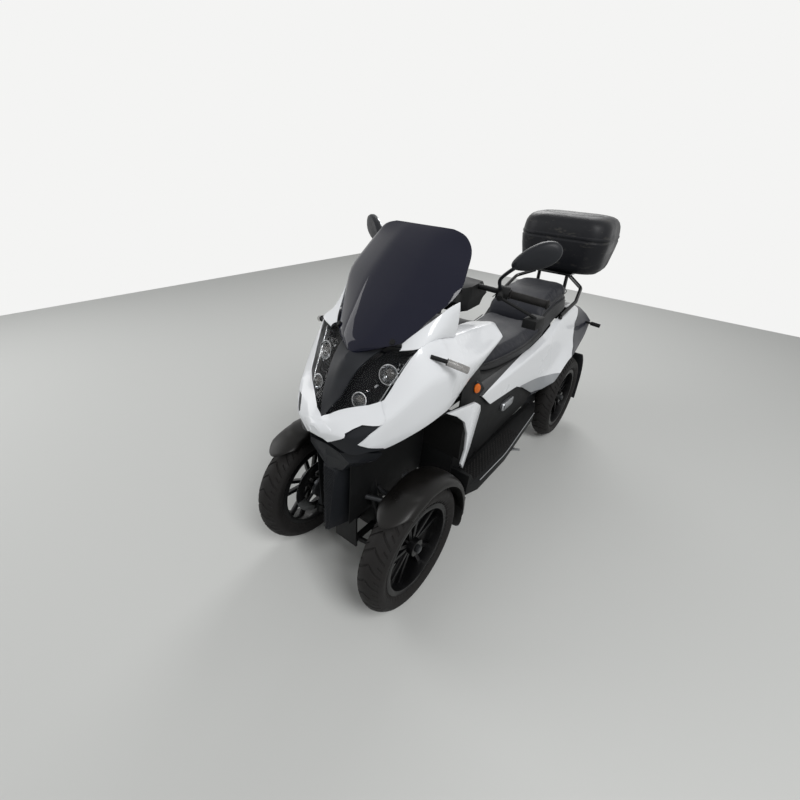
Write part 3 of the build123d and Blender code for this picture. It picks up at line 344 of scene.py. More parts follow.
def new_material(name, code, roughness, metallic=0.0):
    """A material, its node tree and its main shader, which the caller refines."""
    material = bpy.data.materials.new(name)
    material.use_nodes = True
    shader = material.node_tree.nodes["Principled BSDF"]
    shader.inputs["Base Color"].default_value = linear(code)
    shader.inputs["Roughness"].default_value = roughness
    shader.inputs["Metallic"].default_value = metallic
    if metallic == 0:
        shader.inputs["Specular IOR Level"].default_value = PLASTIC_GLINT
    return material, material.node_tree, shader


def uneven(tree, shader, low, high, size, where):
    """Lets the roughness vary between two values over blotches of a size in millimetres."""
    blotches = node(tree, "ShaderNodeTexNoise", {"Scale": 1 / (size * MM), "Detail": 4.0}, {"Vector": where})
    spread = node(tree, "ShaderNodeMapRange",
                  {"To Min": low, "To Max": high, "From Min": 0.3, "From Max": 0.7},
                  {"Value": blotches.outputs["Fac"]})
    tree.links.new(spread.outputs["Result"], shader.inputs["Roughness"])
    return blotches


def bumped(tree, shader, height, depth):
    """Raises the surface by a height signal, with a depth in millimetres."""
    bump = node(tree, "ShaderNodeBump", {"Distance": depth * MM, "Strength": 1.0}, {"Height": height})
    tree.links.new(bump.outputs["Normal"], shader.inputs["Normal"])
    return bump


def tinted(tree, shader, amount, low_code, high_code):
    """Mixes two colours by an amount signal into the base colour."""
    mix = node(tree, "ShaderNodeMix", {"data_type": "RGBA"}, {"Factor": amount})
    mix.inputs[6].default_value = linear(low_code)
    mix.inputs[7].default_value = linear(high_code)
    tree.links.new(mix.outputs[2], shader.inputs["Base Color"])
    return mix


def grainy(name, code, light_code, low, high, grain, depth, wear=160.0):
    """Moulded plastic: pebbles of a grain width in millimetres, blotches of sheen and paler handling marks.

    A real mould grain is about 0.3 mm wide. It is drawn four times coarser or more, so that it shows.
    """
    material, tree, shader = new_material(name, code, low)
    where = node(tree, "ShaderNodeTexCoord").outputs["Object"]
    blotches = uneven(tree, shader, low, high, wear, where)
    faint = node(tree, "ShaderNodeMapRange", {"From Min": 0.55, "From Max": 0.8, "To Max": 0.8},
                 {"Value": blotches.outputs["Fac"]})
    tinted(tree, shader, faint.outputs["Result"], code, light_code)
    pebbles = node(tree, "ShaderNodeTexVoronoi", {"Scale": 1 / (grain * MM)}, {"Vector": where})
    bumped(tree, shader, pebbles.outputs["Distance"], depth)
    return material


def painted(name, code, roughness, coat, ripple=0.012):
    """Sprayed and lacquered paint: a clear coat over a colour, with the 2.5 mm ripple of orange peel."""
    material, tree, shader = new_material(name, code, roughness)
    shader.inputs["Coat Weight"].default_value = coat
    shader.inputs["Coat Roughness"].default_value = 0.05
    where = node(tree, "ShaderNodeTexCoord").outputs["Object"]
    peel = node(tree, "ShaderNodeTexNoise", {"Scale": 1 / (2.5 * MM), "Detail": 1.0}, {"Vector": where})
    bumped(tree, shader, peel.outputs["Fac"], ripple)
    uneven(tree, shader, roughness * 0.8, roughness * 1.3, 220, where)
    return material


def scuffed_plastic():
    """Weathered polypropylene of the case and the rear flaps: dull black with grey rubs."""
    material, tree, shader = new_material("weathered_polypropylene", "17181a", 0.42)
    where = node(tree, "ShaderNodeTexCoord").outputs["Object"]
    uneven(tree, shader, 0.34, 0.56, 90, where)
    stretch = node(tree, "ShaderNodeMapping", {"Scale": (1.0, 0.25, 2.4)}, {"Vector": where})
    rubs = node(tree, "ShaderNodeTexNoise", {"Scale": 1 / (60 * MM), "Detail": 9.0, "Roughness": 0.68},
                {"Vector": stretch.outputs["Vector"]})
    amount = node(tree, "ShaderNodeMapRange", {"From Min": 0.56, "From Max": 0.74, "To Max": 0.75},
                  {"Value": rubs.outputs["Fac"]})
    tinted(tree, shader, amount.outputs["Result"], "15161a", "4a4844")
    grain = node(tree, "ShaderNodeTexVoronoi", {"Scale": 1 / (1.6 * MM)}, {"Vector": where})
    bumped(tree, shader, grain.outputs["Distance"], 0.12)
    return material


def tyre_rubber():
    """Vulcanised rubber: dull near-black with a brown bloom of road dust."""
    material, tree, shader = new_material("vulcanised_rubber", "121212", 0.72)
    where = node(tree, "ShaderNodeTexCoord").outputs["Object"]
    bloom = uneven(tree, shader, 0.6, 0.85, 35, where)
    tinted(tree, shader, bloom.outputs["Fac"], "0c0c0d", "232120")
    fine = node(tree, "ShaderNodeTexNoise", {"Scale": 1 / (1.2 * MM), "Detail": 3.0}, {"Vector": where})
    bumped(tree, shader, fine.outputs["Fac"], 0.15)
    return material


def seat_vinyl(name, code, light_code):
    """Embossed seat vinyl: leather-like cells 1.8 mm wide, with a soft sheen that keeps the pads dark."""
    material, tree, shader = new_material(name, code, 0.5)
    shader.inputs["Sheen Weight"].default_value = 0.05
    shader.inputs["Specular IOR Level"].default_value = 0.35
    shader.inputs["Sheen Roughness"].default_value = 0.5
    where = node(tree, "ShaderNodeTexCoord").outputs["Object"]
    blotches = uneven(tree, shader, 0.5, 0.66, 120, where)
    tinted(tree, shader, blotches.outputs["Fac"], code, light_code)
    cells = node(tree, "ShaderNodeTexVoronoi", {"Scale": 1 / (1.8 * MM), "feature": "DISTANCE_TO_EDGE"},
                 {"Vector": where})
    bumped(tree, shader, cells.outputs["Distance"], 0.35)
    return material


def brushed_metal(name, code, roughness, stretch):
    """Metal turned or brushed one way, whose fine lines blur the highlight."""
    material, tree, shader = new_material(name, code, roughness, 1.0)
    where = node(tree, "ShaderNodeTexCoord").outputs["Object"]
    lines = node(tree, "ShaderNodeMapping", {"Scale": stretch}, {"Vector": where})
    streaks = node(tree, "ShaderNodeTexNoise", {"Scale": 1 / (2.2 * MM), "Detail": 2.0},
                   {"Vector": lines.outputs["Vector"]})
    spread = node(tree, "ShaderNodeMapRange", {"To Min": roughness * 0.7, "To Max": roughness * 1.4},
                  {"Value": streaks.outputs["Fac"]})
    tree.links.new(spread.outputs["Result"], shader.inputs["Roughness"])
    bumped(tree, shader, streaks.outputs["Fac"], 0.05)
    return material


def cast_metal(name, code):
    """Sand-cast aluminium: grey with a coarse skin and darker grime in patches."""
    material, tree, shader = new_material(name, code, 0.5, 0.9)
    where = node(tree, "ShaderNodeTexCoord").outputs["Object"]
    blotches = uneven(tree, shader, 0.42, 0.7, 60, where)
    tinted(tree, shader, blotches.outputs["Fac"], code, "1d1d1e")
    skin = node(tree, "ShaderNodeTexNoise", {"Scale": 1 / (2.0 * MM), "Detail": 4.0}, {"Vector": where})
    bumped(tree, shader, skin.outputs["Fac"], 0.3)
    return material


def clear_plastic(name, code, alpha, roughness=0.04, coat=0.6):
    """Polycarbonate or acrylic, clear or smoked: smooth and glossy, with what lies behind showing through."""
    material, tree, shader = new_material(name, code, roughness)
    shader.inputs["Alpha"].default_value = alpha
    shader.inputs["IOR"].default_value = 1.49
    shader.inputs["Coat Weight"].default_value = coat
    shader.inputs["Coat Roughness"].default_value = 0.03
    where = node(tree, "ShaderNodeTexCoord").outputs["Object"]
    uneven(tree, shader, roughness, roughness * 2.2, 150, where)
    return material


# Sprayed body paint under clear lacquer: clean white with soft, slightly rippled highlights
WHITE = painted("pearl_white_paint", "e3e5e8", 0.3, 0.55)
PALE_GREY = painted("silver_grey_paint", "8d9094", 0.36, 0.4)
# Lacquered tube of the rack: near black, with one crisp line of light along each bend
GLOSS_BLACK = painted("gloss_black_lacquer", "08090a", 0.22, 0.7)
# Satin paint of the tail: black that turns faintly blue where the light grazes it
FLARE_BLACK = painted("blue_black_satin_paint", "1a1c26", 0.38, 0.3)
# Enamelled rims: the spokes read as black shapes with narrow glints at their edges
RIM_BLACK = painted("gloss_black_rim_enamel", "050506", 0.36, 0.12)
# Retroreflective sheet of the blank number plate: flat, even off-white
PLATE_WHITE = painted("reflective_plate_sheet", "d9dad8", 0.45, 0.1)
# Injection-moulded ABS of the ridge, the beak and the snout: charcoal with a broad, calm sheen
SATIN_BLACK = grainy("satin_moulded_abs", "191b1f", "25272b", 0.36, 0.5, 1.3, 0.05)
# Grained polypropylene of the body and the boards: the dullest of the outer plastics
DULL_BLACK = grainy("grained_polypropylene", "08090a", "131415", 0.55, 0.72, 1.6, 0.12)
# Matt moulding inside the front arch, its colour darker than the body's plastic as painted shade, so that the
# space behind the wheel reads as shade
ARCH_SHADE_BLACK = grainy("matt_arch_plastic_painted_shade", "050505", "0a0a0b", 0.7, 0.85, 1.6, 0.1)
# Polished-mould polypropylene of the front mudguards: warm black with a long soft highlight on the arch
GUARD_BLACK = grainy("moulded_mudguard_plastic", "0e0d0c", "1e1c1b", 0.26, 0.42, 1.4, 0.05, 110)
# Powder coat on tube and plate: even black with a fine pebbled skin
FRAME_PAINT = grainy("powder_coated_steel", "0d0e0f", "191a1b", 0.4, 0.58, 1.4, 0.04)
# Moulded bowl behind the lenses: a dark ground in which the chrome parts sparkle
LAMP_HOUSING = grainy("moulded_lamp_housing", "08090b", "101114", 0.3, 0.42, 3.0, 0.0)
SCUFFED = scuffed_plastic()
RUBBER = tyre_rubber()
# Embossed vinyl: navy on the pads, charcoal on the skirt and the piping
SEAT_BLUE = seat_vinyl("navy_seat_vinyl", "080a12", "0e111c")
SEAT_GREY = seat_vinyl("charcoal_seat_vinyl", "121315", "1c1d1f")
# Ground steel of the discs and the silencer: bright grey with a blurred highlight
STEEL = brushed_metal("brushed_disc_steel", "8f9193", 0.3, (1.0, 1.0, 1.0))
# Brushed aluminium of the pegs, the stand and the board edges: pale, with lines along the scooter
ALUMINIUM = brushed_metal("brushed_aluminium", "a8aaad", 0.34, (1.0, 0.06, 1.0))
# As-cast aluminium of the engine and the knuckles: uneven mid grey with darker grime in patches
CAST = cast_metal("cast_aluminium", "55575a")
# Vacuum-plated chrome inside the headlights, and silvered glass in the mirrors: sharp reflections
CHROME = new_material("chrome_plate", "d8dadc", 0.06, 1.0)[0]
MIRROR = new_material("silvered_mirror_glass", "c9ccd0", 0.02, 1.0)[0]
# Lamp covers of thin clear polycarbonate: a smoky film through which the bowls are seen
LAMP_GLASS = clear_plastic("smoked_polycarbonate", "101215", 0.22, 0.03, 0.0)
# Cast acrylic of the screen, tinted nearly opaque: midnight blue with a bright fold
SCREEN_GLASS = clear_plastic("smoked_blue_acrylic", "0a0c22", 0.965, 0.02, 0.1)
# Small lenses: greyed clear on the front signals, deep red on the tail, amber on the side reflectors
CLEAR_LENS = clear_plastic("clear_grey_polycarbonate", "6d6862", 0.55)
RED_LENS = clear_plastic("red_acrylic", "6e0a0a", 0.92)
AMBER = clear_plastic("amber_acrylic", "d96a08", 0.97, 0.12)


# Front skin: the same sections that carry the CAD fairings, drawn as one smooth creased sheet
SKIN_SECTIONS = [
    (-195, [(0, 792), (14, 790), (28, 784), (45, 768), (30, 742)]),
    (-167, [(0, 803), (30, 808), (60, 808), (125, 772), (110, 702)]),
    (-123, [(0, 870), (38, 866), (100, 835), (172, 800), (165, 714)]),
    (-56, [(0, 979), (58, 955), (165, 880), (215, 850), (195, 712)]),
    (50, [(0, 1010), (90, 1010), (205, 1033), (262, 930), (240, 745)]),
    (139, [(0, 1018), (110, 1020), (218, 1045), (285, 940), (265, 775)]),
    (202, [(0, 1018), (110, 1020), (216, 1030), (288, 935), (270, 793)]),
    (377, [(0, 1010), (100, 1012), (205, 1005), (280, 925), (255, 830)]),
    (595, [(0, 960), (90, 962), (200, 985), (250, 935), (232, 880)]),
]
LAMP = [(8, -164), (38, -123), (58, -56), (90, 50), (205, 50), (165, -56), (130, -86), (30, -157)]
RIDGE = [(0, -168), (8, -164), (38, -123), (58, -56), (90, 50), (110, 139)]
COVER = [(90, 50), (205, 50), (204, 80), (196, 202), (150, 377), (110, 596)]
NOSE_EDGE = [(-59, 880), (-90, 814), (-128, 809), (-150, 795), (-168, 781), (-182, 751), (-189, 732)]
FANG_EDGE = [(-90, 814), (-121, 783), (-148, 743), (-126, 731), (-74, 714)]
NOSE_SIDE = [(-245, 732), (-245, 1000), (-59, 1000)] + NOSE_EDGE
FAIRING_SIDE = [(-59, 1200), (-59, 880)] + FANG_EDGE + [
    (-71, 700), (139, 770), (202, 790), (303, 852), (417, 888), (595, 930), (595, 1200)]
SHOULDER_SIDE = [(-245, 600), (-245, 728)] + NOSE_EDGE[:0:-1] + FANG_EDGE[1:] + [(-71, 600)]
CHIN_RINGS = [(-203, [(0, 786), (14, 783), (24, 774), (28, 763), (18, 748)]),
              (-196, [(0, 792), (18, 789), (36, 778), (44, 766), (32, 742)]),
              (-187, [(0, 796), (34, 796), (60, 784), (66, 768), (52, 733)]),
              (-150, [(0, 790), (34, 790), (58, 778), (62, 764), (50, 733)])]
SKIN_THICKNESS = 5.0
PANEL_GAP = 1.2


def sheet_from(sections, axle_y, steps=5, share=0.14):
    """Rows of a full-width sheet through half sections, smooth along the scooter and creased across it."""
    stations = []
    for station, half in sections:
        path = rounded_path(half, share)
        dense = []
        for i, (a, b) in enumerate(zip(path, path[1:])):
            parts = 3 if i % 3 == 0 else 1
            dense += [tuple(p + (q - p) * k / parts for p, q in zip(a, b)) for k in range(parts)]
        dense.append(path[-1])
        stations.append([(x, axle_y + station, z) for x, z in dense])
    return [[(-x, y, z) for x, y, z in reversed(row)][:-1] + row for row in smoothed(stations, steps)]


def thicken(sheet, thickness):
    """Gives an outward-facing sheet a wall on its inner side."""
    modify(sheet, "SOLIDIFY", thickness=thickness * MM, offset=-1.0, use_even_offset=False)
    return bake(sheet)


def in_front_frame(outline):
    """An outline in plan with its places along the scooter counted from the front axle."""
    return [(x, FRONT_AXLE + y) for x, y in outline]


def side_outline(outline, axle_y=FRONT_AXLE):
    """An outline in side view with its places along the scooter counted from an axle."""
    return [(axle_y + y, z) for y, z in outline]


def flip(outline):
    """The same outline on the other side, in the same turning sense."""
    return [(-x, y) for x, y in reversed(outline)]


def front_fairings():
    """The white nose and flanks, the black ridge and cockpit cover, and the lenses, cut from one sheet."""
    rows = sheet_from(SKIN_SECTIONS, FRONT_AXLE)
    first = rows[0]
    middle = Vector((0, FRONT_AXLE - 203, 772))
    tip = [tuple(Vector(p).lerp(middle, 0.55) + Vector((0, -5, 0))) for p in first]
    skin = thicken(loft("front_skin", [tip] + rows, None), SKIN_THICKNESS)
    lamps = [in_front_frame(LAMP), in_front_frame(flip(LAMP))]
    ridge = in_front_frame(mirrored(RIDGE))
    cover = in_front_frame(COVER + flip(COVER))

    white = copy_of(skin, "white_skin")
    carve(white, prism(shifted(cover, -PANEL_GAP), "z", 640, 1320), "DIFFERENCE")
    for outline in lamps + [ridge]:
        carve(white, prism(shifted(outline, -PANEL_GAP), "z", 650, 1310), "DIFFERENCE")
    for name, outline, stands_for in (("white_nose", NOSE_SIDE, "nose_panel"),
                                      ("white_flanks", FAIRING_SIDE, "side_fairings")):
        part = copy_of(white, name)
        carve(part, prism(shifted(side_outline(outline), PANEL_GAP / 2), "x", -400, 400), "INTERSECT")
        part.data.materials.append(WHITE)
        soften(part, 1.2)
        extra = deflectors() if name == "white_flanks" else [chin()]
        part = join(name + "_whole", [part] + extra, "chassis")
        shade(part)
        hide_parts(stands_for)
    bpy.data.objects.remove(white)
    shoulders = copy_of(skin, "beak_shoulders")
    carve(shoulders, prism(shifted(side_outline(SHOULDER_SIDE), -3), "x", -400, 400), "INTERSECT")
    shoulders.data.materials.append(SATIN_BLACK)
    shoulders.data.transform(Matrix.Translation(Vector((0, 9, -5)) * MM))
    shade(shoulders)
    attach(shoulders, "chassis")

    covers = copy_of(skin, "black_covers")
    other = copy_of(skin, "cockpit_panel")
    carve(covers, prism(ridge, "z", 760, 1300), "INTERSECT")
    carve(other, prism(cover, "z", 680, 1300), "INTERSECT")
    carve(other, prism(shifted(ridge, -PANEL_GAP), "z", 680, 1300), "DIFFERENCE")
    for piece in (covers, other):
        piece.data.materials.append(SATIN_BLACK)
        soften(piece, 1.2)
    whole = join("cockpit_covers", [covers, other], "chassis")
    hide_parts("cockpit_cover")
    shade(whole)

    lenses = []
    for outline in lamps:
        lens = copy_of(skin, "lens")
        carve(lens, prism(shifted(outline, PANEL_GAP), "z", 760, 1300), "INTERSECT")
        lens.data.materials.append(LAMP_GLASS)
        lenses.append(soften(lens, 0.8))
    both = join("headlight_lenses", lenses, "chassis")
    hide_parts("headlights")
    shade(both)
    lamp_innards(skin, lamps)
    bpy.data.objects.remove(skin)


def chin():
    """The rounded front of the nose, which closes the V under the ridge."""
    rows = []
    for station, half in CHIN_RINGS:
        y = FRONT_AXLE + station
        rows.append([(x, y, z) for x, z in half] + [(-x, y, z) for x, z in half[:0:-1]])
    return soften(outward(loft("chin", rows, WHITE, closed=True, caps=True)), 4.0, 3, 20)


WING_FOOT = [(150, -946, 1012), (206, -930, 1030), (212, -880, 1040), (217, -838, 1043), (217, -775, 1032),
             (214, -724, 1018)]
WING_TOP = [(144, -925, 1026), (158, -905, 1046), (178, -868, 1074), (198, -832, 1102), (217, -788, 1132),
            (220, -726, 1140)]
WING_SWELL = [(0, 0), (0.25, 0.8), (0.5, 1), (0.8, 0.7), (1, 0)]


def deflectors():
    """White wings that rise from the flanks to the edge of the screen."""
    wings = []
    out = Vector((7, -3, 0))
    for side in SIDES:
        rows = []
        for foot, top in zip(curve_through(WING_FOOT, 4), curve_through(WING_TOP, 4)):
            foot, top = Vector(foot), Vector(top)
            row = [foot.lerp(top, share) + out * swell for share, swell in WING_SWELL]
            rows.append([(side * p.x, p.y, p.z) for p in row])
        if side < 0:
            rows.reverse()
        wings.append(soften(thicken(loft("wing", rows, WHITE), 4), 1.6, 3))
    return wings


FIN_COUNT = 7
FACET_COUNT = 16
GOLDEN_TURN = 2.399963  # radians, which spreads the facets without rows
BARRELS = [((140, -975, 938), 34), ((92, -1058, 862), 27)]
LIGHT_STRIP = [(188, -930, 1002), (163, -992, 922), (143, -1042, 856), (88, -1084, 822)]


def chip(name, corners, drop):
    """A small chrome plate: four corners and the way to its back."""
    points = corners + [p + Vector(drop) for p in corners]
    faces = [(0, 1, 2, 3), (7, 6, 5, 4), (0, 4, 5, 1), (1, 5, 6, 2), (2, 6, 7, 3), (3, 7, 4, 0)]
    return outward(build(name, [tuple(p) for p in points], faces, CHROME))


def lamp_innards(skin, lamps):
    """What shows through the smoked lenses: a black bowl, two lamp barrels, chrome fins and a light strip."""
    for side, outline in zip(SIDES, lamps):
        name = SIDE_NAMES[side]
        bowl = copy_of(skin, "lamp_bowl_" + name)
        bowl.data.transform(Matrix.Translation(Vector((-12 * side, 34, -26)) * MM))
        mouth = [(x - 6 * side, y + 22) for x, y in shifted(outline, -6)]
        carve(bowl, prism(mouth, "z", 720, 1300), "INTERSECT")
        bowl.data.materials.append(LAMP_HOUSING)
        shade(bowl)
        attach(bowl, "chassis")
        parts = []
        for (x, y, z), radius in BARRELS:
            middle = (side * x, y, z)
            way = Vector((side * 0.18, -0.92, 0.3))
            profile = [(-18, radius * 0.5), (0, radius * 0.86), (10, radius), (13, radius), (13, radius - 3),
                       (4, radius * 0.8), (-8, radius * 0.55), (-10, 0.1)]
            parts.append(spin("barrel", profile, middle, way, CHROME, steps=40, closed=False))
            ball = [(0, radius * 0.62), (8, radius * 0.56), (15, radius * 0.34), (18, 0.1)]
            parts.append(spin("ball", ball, middle, way, CLEAR_LENS, steps=32, closed=False))
        for i in range(FIN_COUNT):
            t = i / (FIN_COUNT - 1)
            base = Vector((side * (164 - 86 * t), -922 - 118 * t, 982 - 130 * t))
            tilt = Vector((side * 20, -10, 10 + 3 * (i % 2)))
            rise = Vector((side * 4, -6, 12))
            parts.append(chip("fin", [base, base + tilt, base + tilt + rise, base + rise], (0, 7, -4)))
        for i in range(FACET_COUNT):
            turn = GOLDEN_TURN * i
            t = 0.15 + 0.055 * i
            heart = Vector((side * (170 - 90 * t), -926 - 112 * t, 984 - 126 * t))
            heart += Vector((12 * math.cos(turn), 12 * math.sin(turn), 5 * math.sin(turn)))
            one = Vector((math.cos(turn), math.sin(turn), 0.5)) * 7
            two = Vector((-math.sin(turn), math.cos(turn), 0.4)) * 4
            corners = [heart - one - two, heart + one - two, heart + one + two, heart - one + two]
            parts.append(chip("facet", corners, (0, 2, -3)))
        parts.append(pipe("strip", [(side * x, y, z) for x, y, z in LIGHT_STRIP], 2.6, CHROME))
        shade(join("lamp_parts_" + name, parts, "chassis"))


front_fairings()


# Tinted windscreen: level bows that lean back, with two soft folds running down to its pointed foot
SCREEN_LEVELS = [
    (988, 20, -1010, -1002), (1012, 92, -996, -960), (1034, 146, -977, -908), (1100, 186, -912, -838),
    (1173, 230, -835, -759), (1240, 218, -766, -694), (1289, 200, -714, -652), (1326, 168, -670, -641),
    (1342, 118, -648, -640),
]
SCREEN_THICKNESS = 4.0


def windscreen():
    """The screen's sheet, its wall and its polished edge, with the screws at its foot."""
    rows = []
    for height, half, centre_y, edge_y in curve_through(SCREEN_LEVELS, 4):
        row = []
        for i in range(-12, 13):
            t = i / 12
            bow = 0.42 * abs(t) ** 2 + 0.58 * max(abs(t) - 0.375, 0) / 0.625
            row.append((half * t, centre_y + (edge_y - centre_y) * bow, height))
        rows.append(row)
    screen = thicken(loft("tinted_screen", list(reversed(rows)), SCREEN_GLASS), SCREEN_THICKNESS)
    soften(screen, 1.4)
    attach(screen, "chassis")
    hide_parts("windscreen")
    screws = []
    for side in SIDES:
        for place_at in ((side * 118, -942, 1033), (side * 196, -812, 1124)):
            way = Vector((side * 0.45, -0.75, 0.5))
            profile = [(-3, 9), (2, 9), (4, 7.5), (4, 3), (2, 2.6), (2, 0.1)]
            screws.append(spin("screw", profile, place_at, way, DULL_BLACK, steps=20, closed=False))
    shade(join("screen_screws", screws, "chassis"))


windscreen()


# Wheel wells: dark liners under the fairings that close the front end behind the wheels
WELL_STATIONS = [(-1100, 150, 722), (-1033, 186, 722), (-927, 230, 756), (-838, 254, 786), (-775, 256, 802),
                 (-700, 250, 818), (-640, 236, 816)]
FLOOR_FILLER = [(204, -636), (240, -636), (240, 270), (204, 270)]
WELL_BACK = [(60, -642), (231, -642), (231, -638.5), (60, -638.5)]


def wheel_wells():
    """A roof and an inner wall on each side, back to the body, and a ledge beside each footboard."""
    parts = []
    for side in SIDES:
        rows = []
        for y, out, top in WELL_STATIONS:
            half = [(out, top - 6), (out - 26, top), (120, top - 4), (94, top - 40), (82, 600), (78, 460),
                    (72, 330)]
            rows.append([(side * x, y, z) for x, z in half])
        if side > 0:
            rows.reverse()
        parts.append(soften(thicken(loft("well", rows, DULL_BLACK), 2.5), 1.0))
        ledge = prism([(side * x, y) for x, y in FLOOR_FILLER], "z", 322, 330)
        ledge.data.materials.append(DULL_BLACK)
        parts.append(soften(ledge, 1.5))
        shut = prism([(side * x, y) for x, y in WELL_BACK], "z", 318, 478)
        shut.data.materials.append(DULL_BLACK)
        parts.append(soften(shut, 1.0))
    shade(join("wheel_well_liners", parts, "chassis"))


wheel_wells()


# Wheels: tyres with V grooves, and the CAD rims with a softer edge and steel discs
DISC_X = WHEEL_X - 45
TREAD_PERIODS = 28
TREAD_SHEAR = 0.17
GROOVE_DEPTH = 5.0
TREAD_COLUMNS = [(0.0, 0, 0), (0.03, 1, 0), (0.15, 1, 0), (0.18, 0, 0), (0.34, 0, 0), (0.5, 0, 0),
                 (0.53, 0, 1), (0.61, 0, 1), (0.64, 0, 0), (0.82, 0, 0)]
TYRE_PROFILE = [(37, 178.4), (38, 186), (40, 193), (44, 198), (45, 201), (48, 205), (52.5, 214), (54.5, 222),
                (55, 228), (53.5, 233), (50, 239), (47, 243.5), (46.4, 244.3), (40, 250.5), (31, 256.8),
                (30, 257.4), (22, 261.4), (14, 264.2), (6, 265.7), (5, 265.8), (0, 266)]


def tyre(side, axle_y, name, body):
    """A road tyre whose grid follows its V grooves, so that the grooves have clean walls."""
    profile = [(-x, r) for x, r in TYRE_PROFILE] + [(x, r) for x, r in reversed(TYRE_PROFILE[:-1])]
    rows = []
    for period in range(TREAD_PERIODS):
        for share, long_groove, short_groove in TREAD_COLUMNS:
            row = []
            for x, r in profile:
                lean = min(abs(x), 47) / 50
                deep = (long_groove and 5 <= abs(x) <= 46.5) or (short_groove and 31 <= abs(x) <= 46.5)
                inset = GROOVE_DEPTH * (0.55 if abs(x) > 46 else 1) if deep else 0
                angle = 2 * math.pi * (period + share) / TREAD_PERIODS + TREAD_SHEAR * lean
                reach = r - inset
                row.append((side * WHEEL_X + x, axle_y + reach * math.cos(angle),
                            HUB + reach * math.sin(angle)))
            rows.append(row)
    rows.append(rows[0])
    piece = shade(outward(loft(name, rows, RUBBER, body)), 40)
    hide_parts("tyre_" + name[5:])
    return piece


for axle_name, axle_y in (("front", FRONT_AXLE), ("rear", REAR_AXLE)):
    for side in SIDES:
        label = axle_name + "_" + SIDE_NAMES[side]
        wheel_body = axle_name + "_wheel_" + SIDE_NAMES[side]
        tyre(side, axle_y, "tyre_" + label, wheel_body)
        rim = from_node("rim_" + label, RIM_BLACK, wheel_body, bevel=1.6)
        paint_where(rim, STEEL, lambda x, y, z: (abs(abs(x) - DISC_X) < 3
                                                 and math.hypot(y - axle_y, z - HUB) > 80))


# Front mudguards: a rounded arch with a stepped lip and a flap behind the wheel
GUARD_CROSS = [(-62, 274), (-61, 284), (-52, 293), (-30, 299), (0, 301), (30, 299), (54, 292), (64, 281),
               (66, 268)]
GUARD_FRONT = 128.0
GUARD_REAR = -3.0


def front_mudguard(side):
    """One arch, its raised step near the lip and the flap that hangs behind."""
    name = SIDE_NAMES[side]
    cross = curve_through(GUARD_CROSS, 3)
    rows = []
    steps = 44
    for i in range(steps + 1):
        row = []
        for x, r in cross:
            lip = GUARD_FRONT - 15 * (x / 66) ** 2
            angle = math.radians(lip + (GUARD_REAR - lip) * i / steps)
            step = 3.5 if i > 7 else 0.0
            row.append((side * (WHEEL_X + 4 + x), FRONT_AXLE + (r + step) * math.cos(angle),
                        HUB + (r + step) * math.sin(angle)))
        rows.append(row)
    if side > 0:
        rows.reverse()
    arch = thicken(loft("arch", rows, GUARD_BLACK), 3.2)
    soften(arch, 1.2)
    back = FRONT_AXLE + 302
    flap_rows = []
    for height, half, y in ((322, 56, back - 3), (280, 55, back), (220, 53, back + 2), (170, 50, back + 5),
                            (140, 42, back + 8), (127, 30, back + 9)):
        flap_rows.append([(side * (WHEEL_X + 4) + half * t, y + 5 * t * t, height) for t in
                          (-1, -0.8, -0.5, 0, 0.5, 0.8, 1)])
    flap = loft("flap", list(reversed(flap_rows)), GUARD_BLACK)
    flap = soften(thicken(outward(flap), 3.2), 1.0)
    whole = join("mudguard_" + name, [arch, flap], "knuckle_" + name)
    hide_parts("front_mudguard_" + name)
    shade(whole)


for side in SIDES:
    front_mudguard(side)


# Rear skin: half sections by y, and the side outlines that divide it
REAR_SECTIONS = [
    (-470, [(0, 699), (200, 699), (240, 688), (243, 600), (241, 540)]),
    (-366, [(0, 699), (198, 699), (238, 686), (243, 604), (241, 530)]),
    (-78, [(0, 699), (196, 699), (234, 688), (246, 590), (242, 480)]),
    (163, [(0, 699), (190, 699), (230, 698), (254, 560), (250, 440)]),
    (303, [(0, 720), (186, 720), (228, 706), (266, 545), (300, 470)]),
    (372, [(0, 736), (186, 736), (226, 714), (270, 545), (310, 480)]),
    (513, [(0, 778), (182, 778), (216, 766), (268, 580), (312, 542)]),
    (643, [(0, 792), (176, 792), (212, 782), (264, 620), (308, 556)]),
    (753, [(0, 796), (172, 796), (208, 778), (258, 660), (298, 574)]),
    (863, [(0, 792), (164, 792), (204, 770), (252, 704), (292, 620)]),
    (954, [(0, 772), (150, 772), (196, 760), (246, 726), (282, 690)]),
]
BAND_REAR = [(898, 850), (893, 772), (754, 706), (669, 592), (513, 500), (372, 450), (163, 456)]
BAND_FRONT = [(-470, 850), (-470, 692), (-366, 607), (-78, 585), (13, 545)]


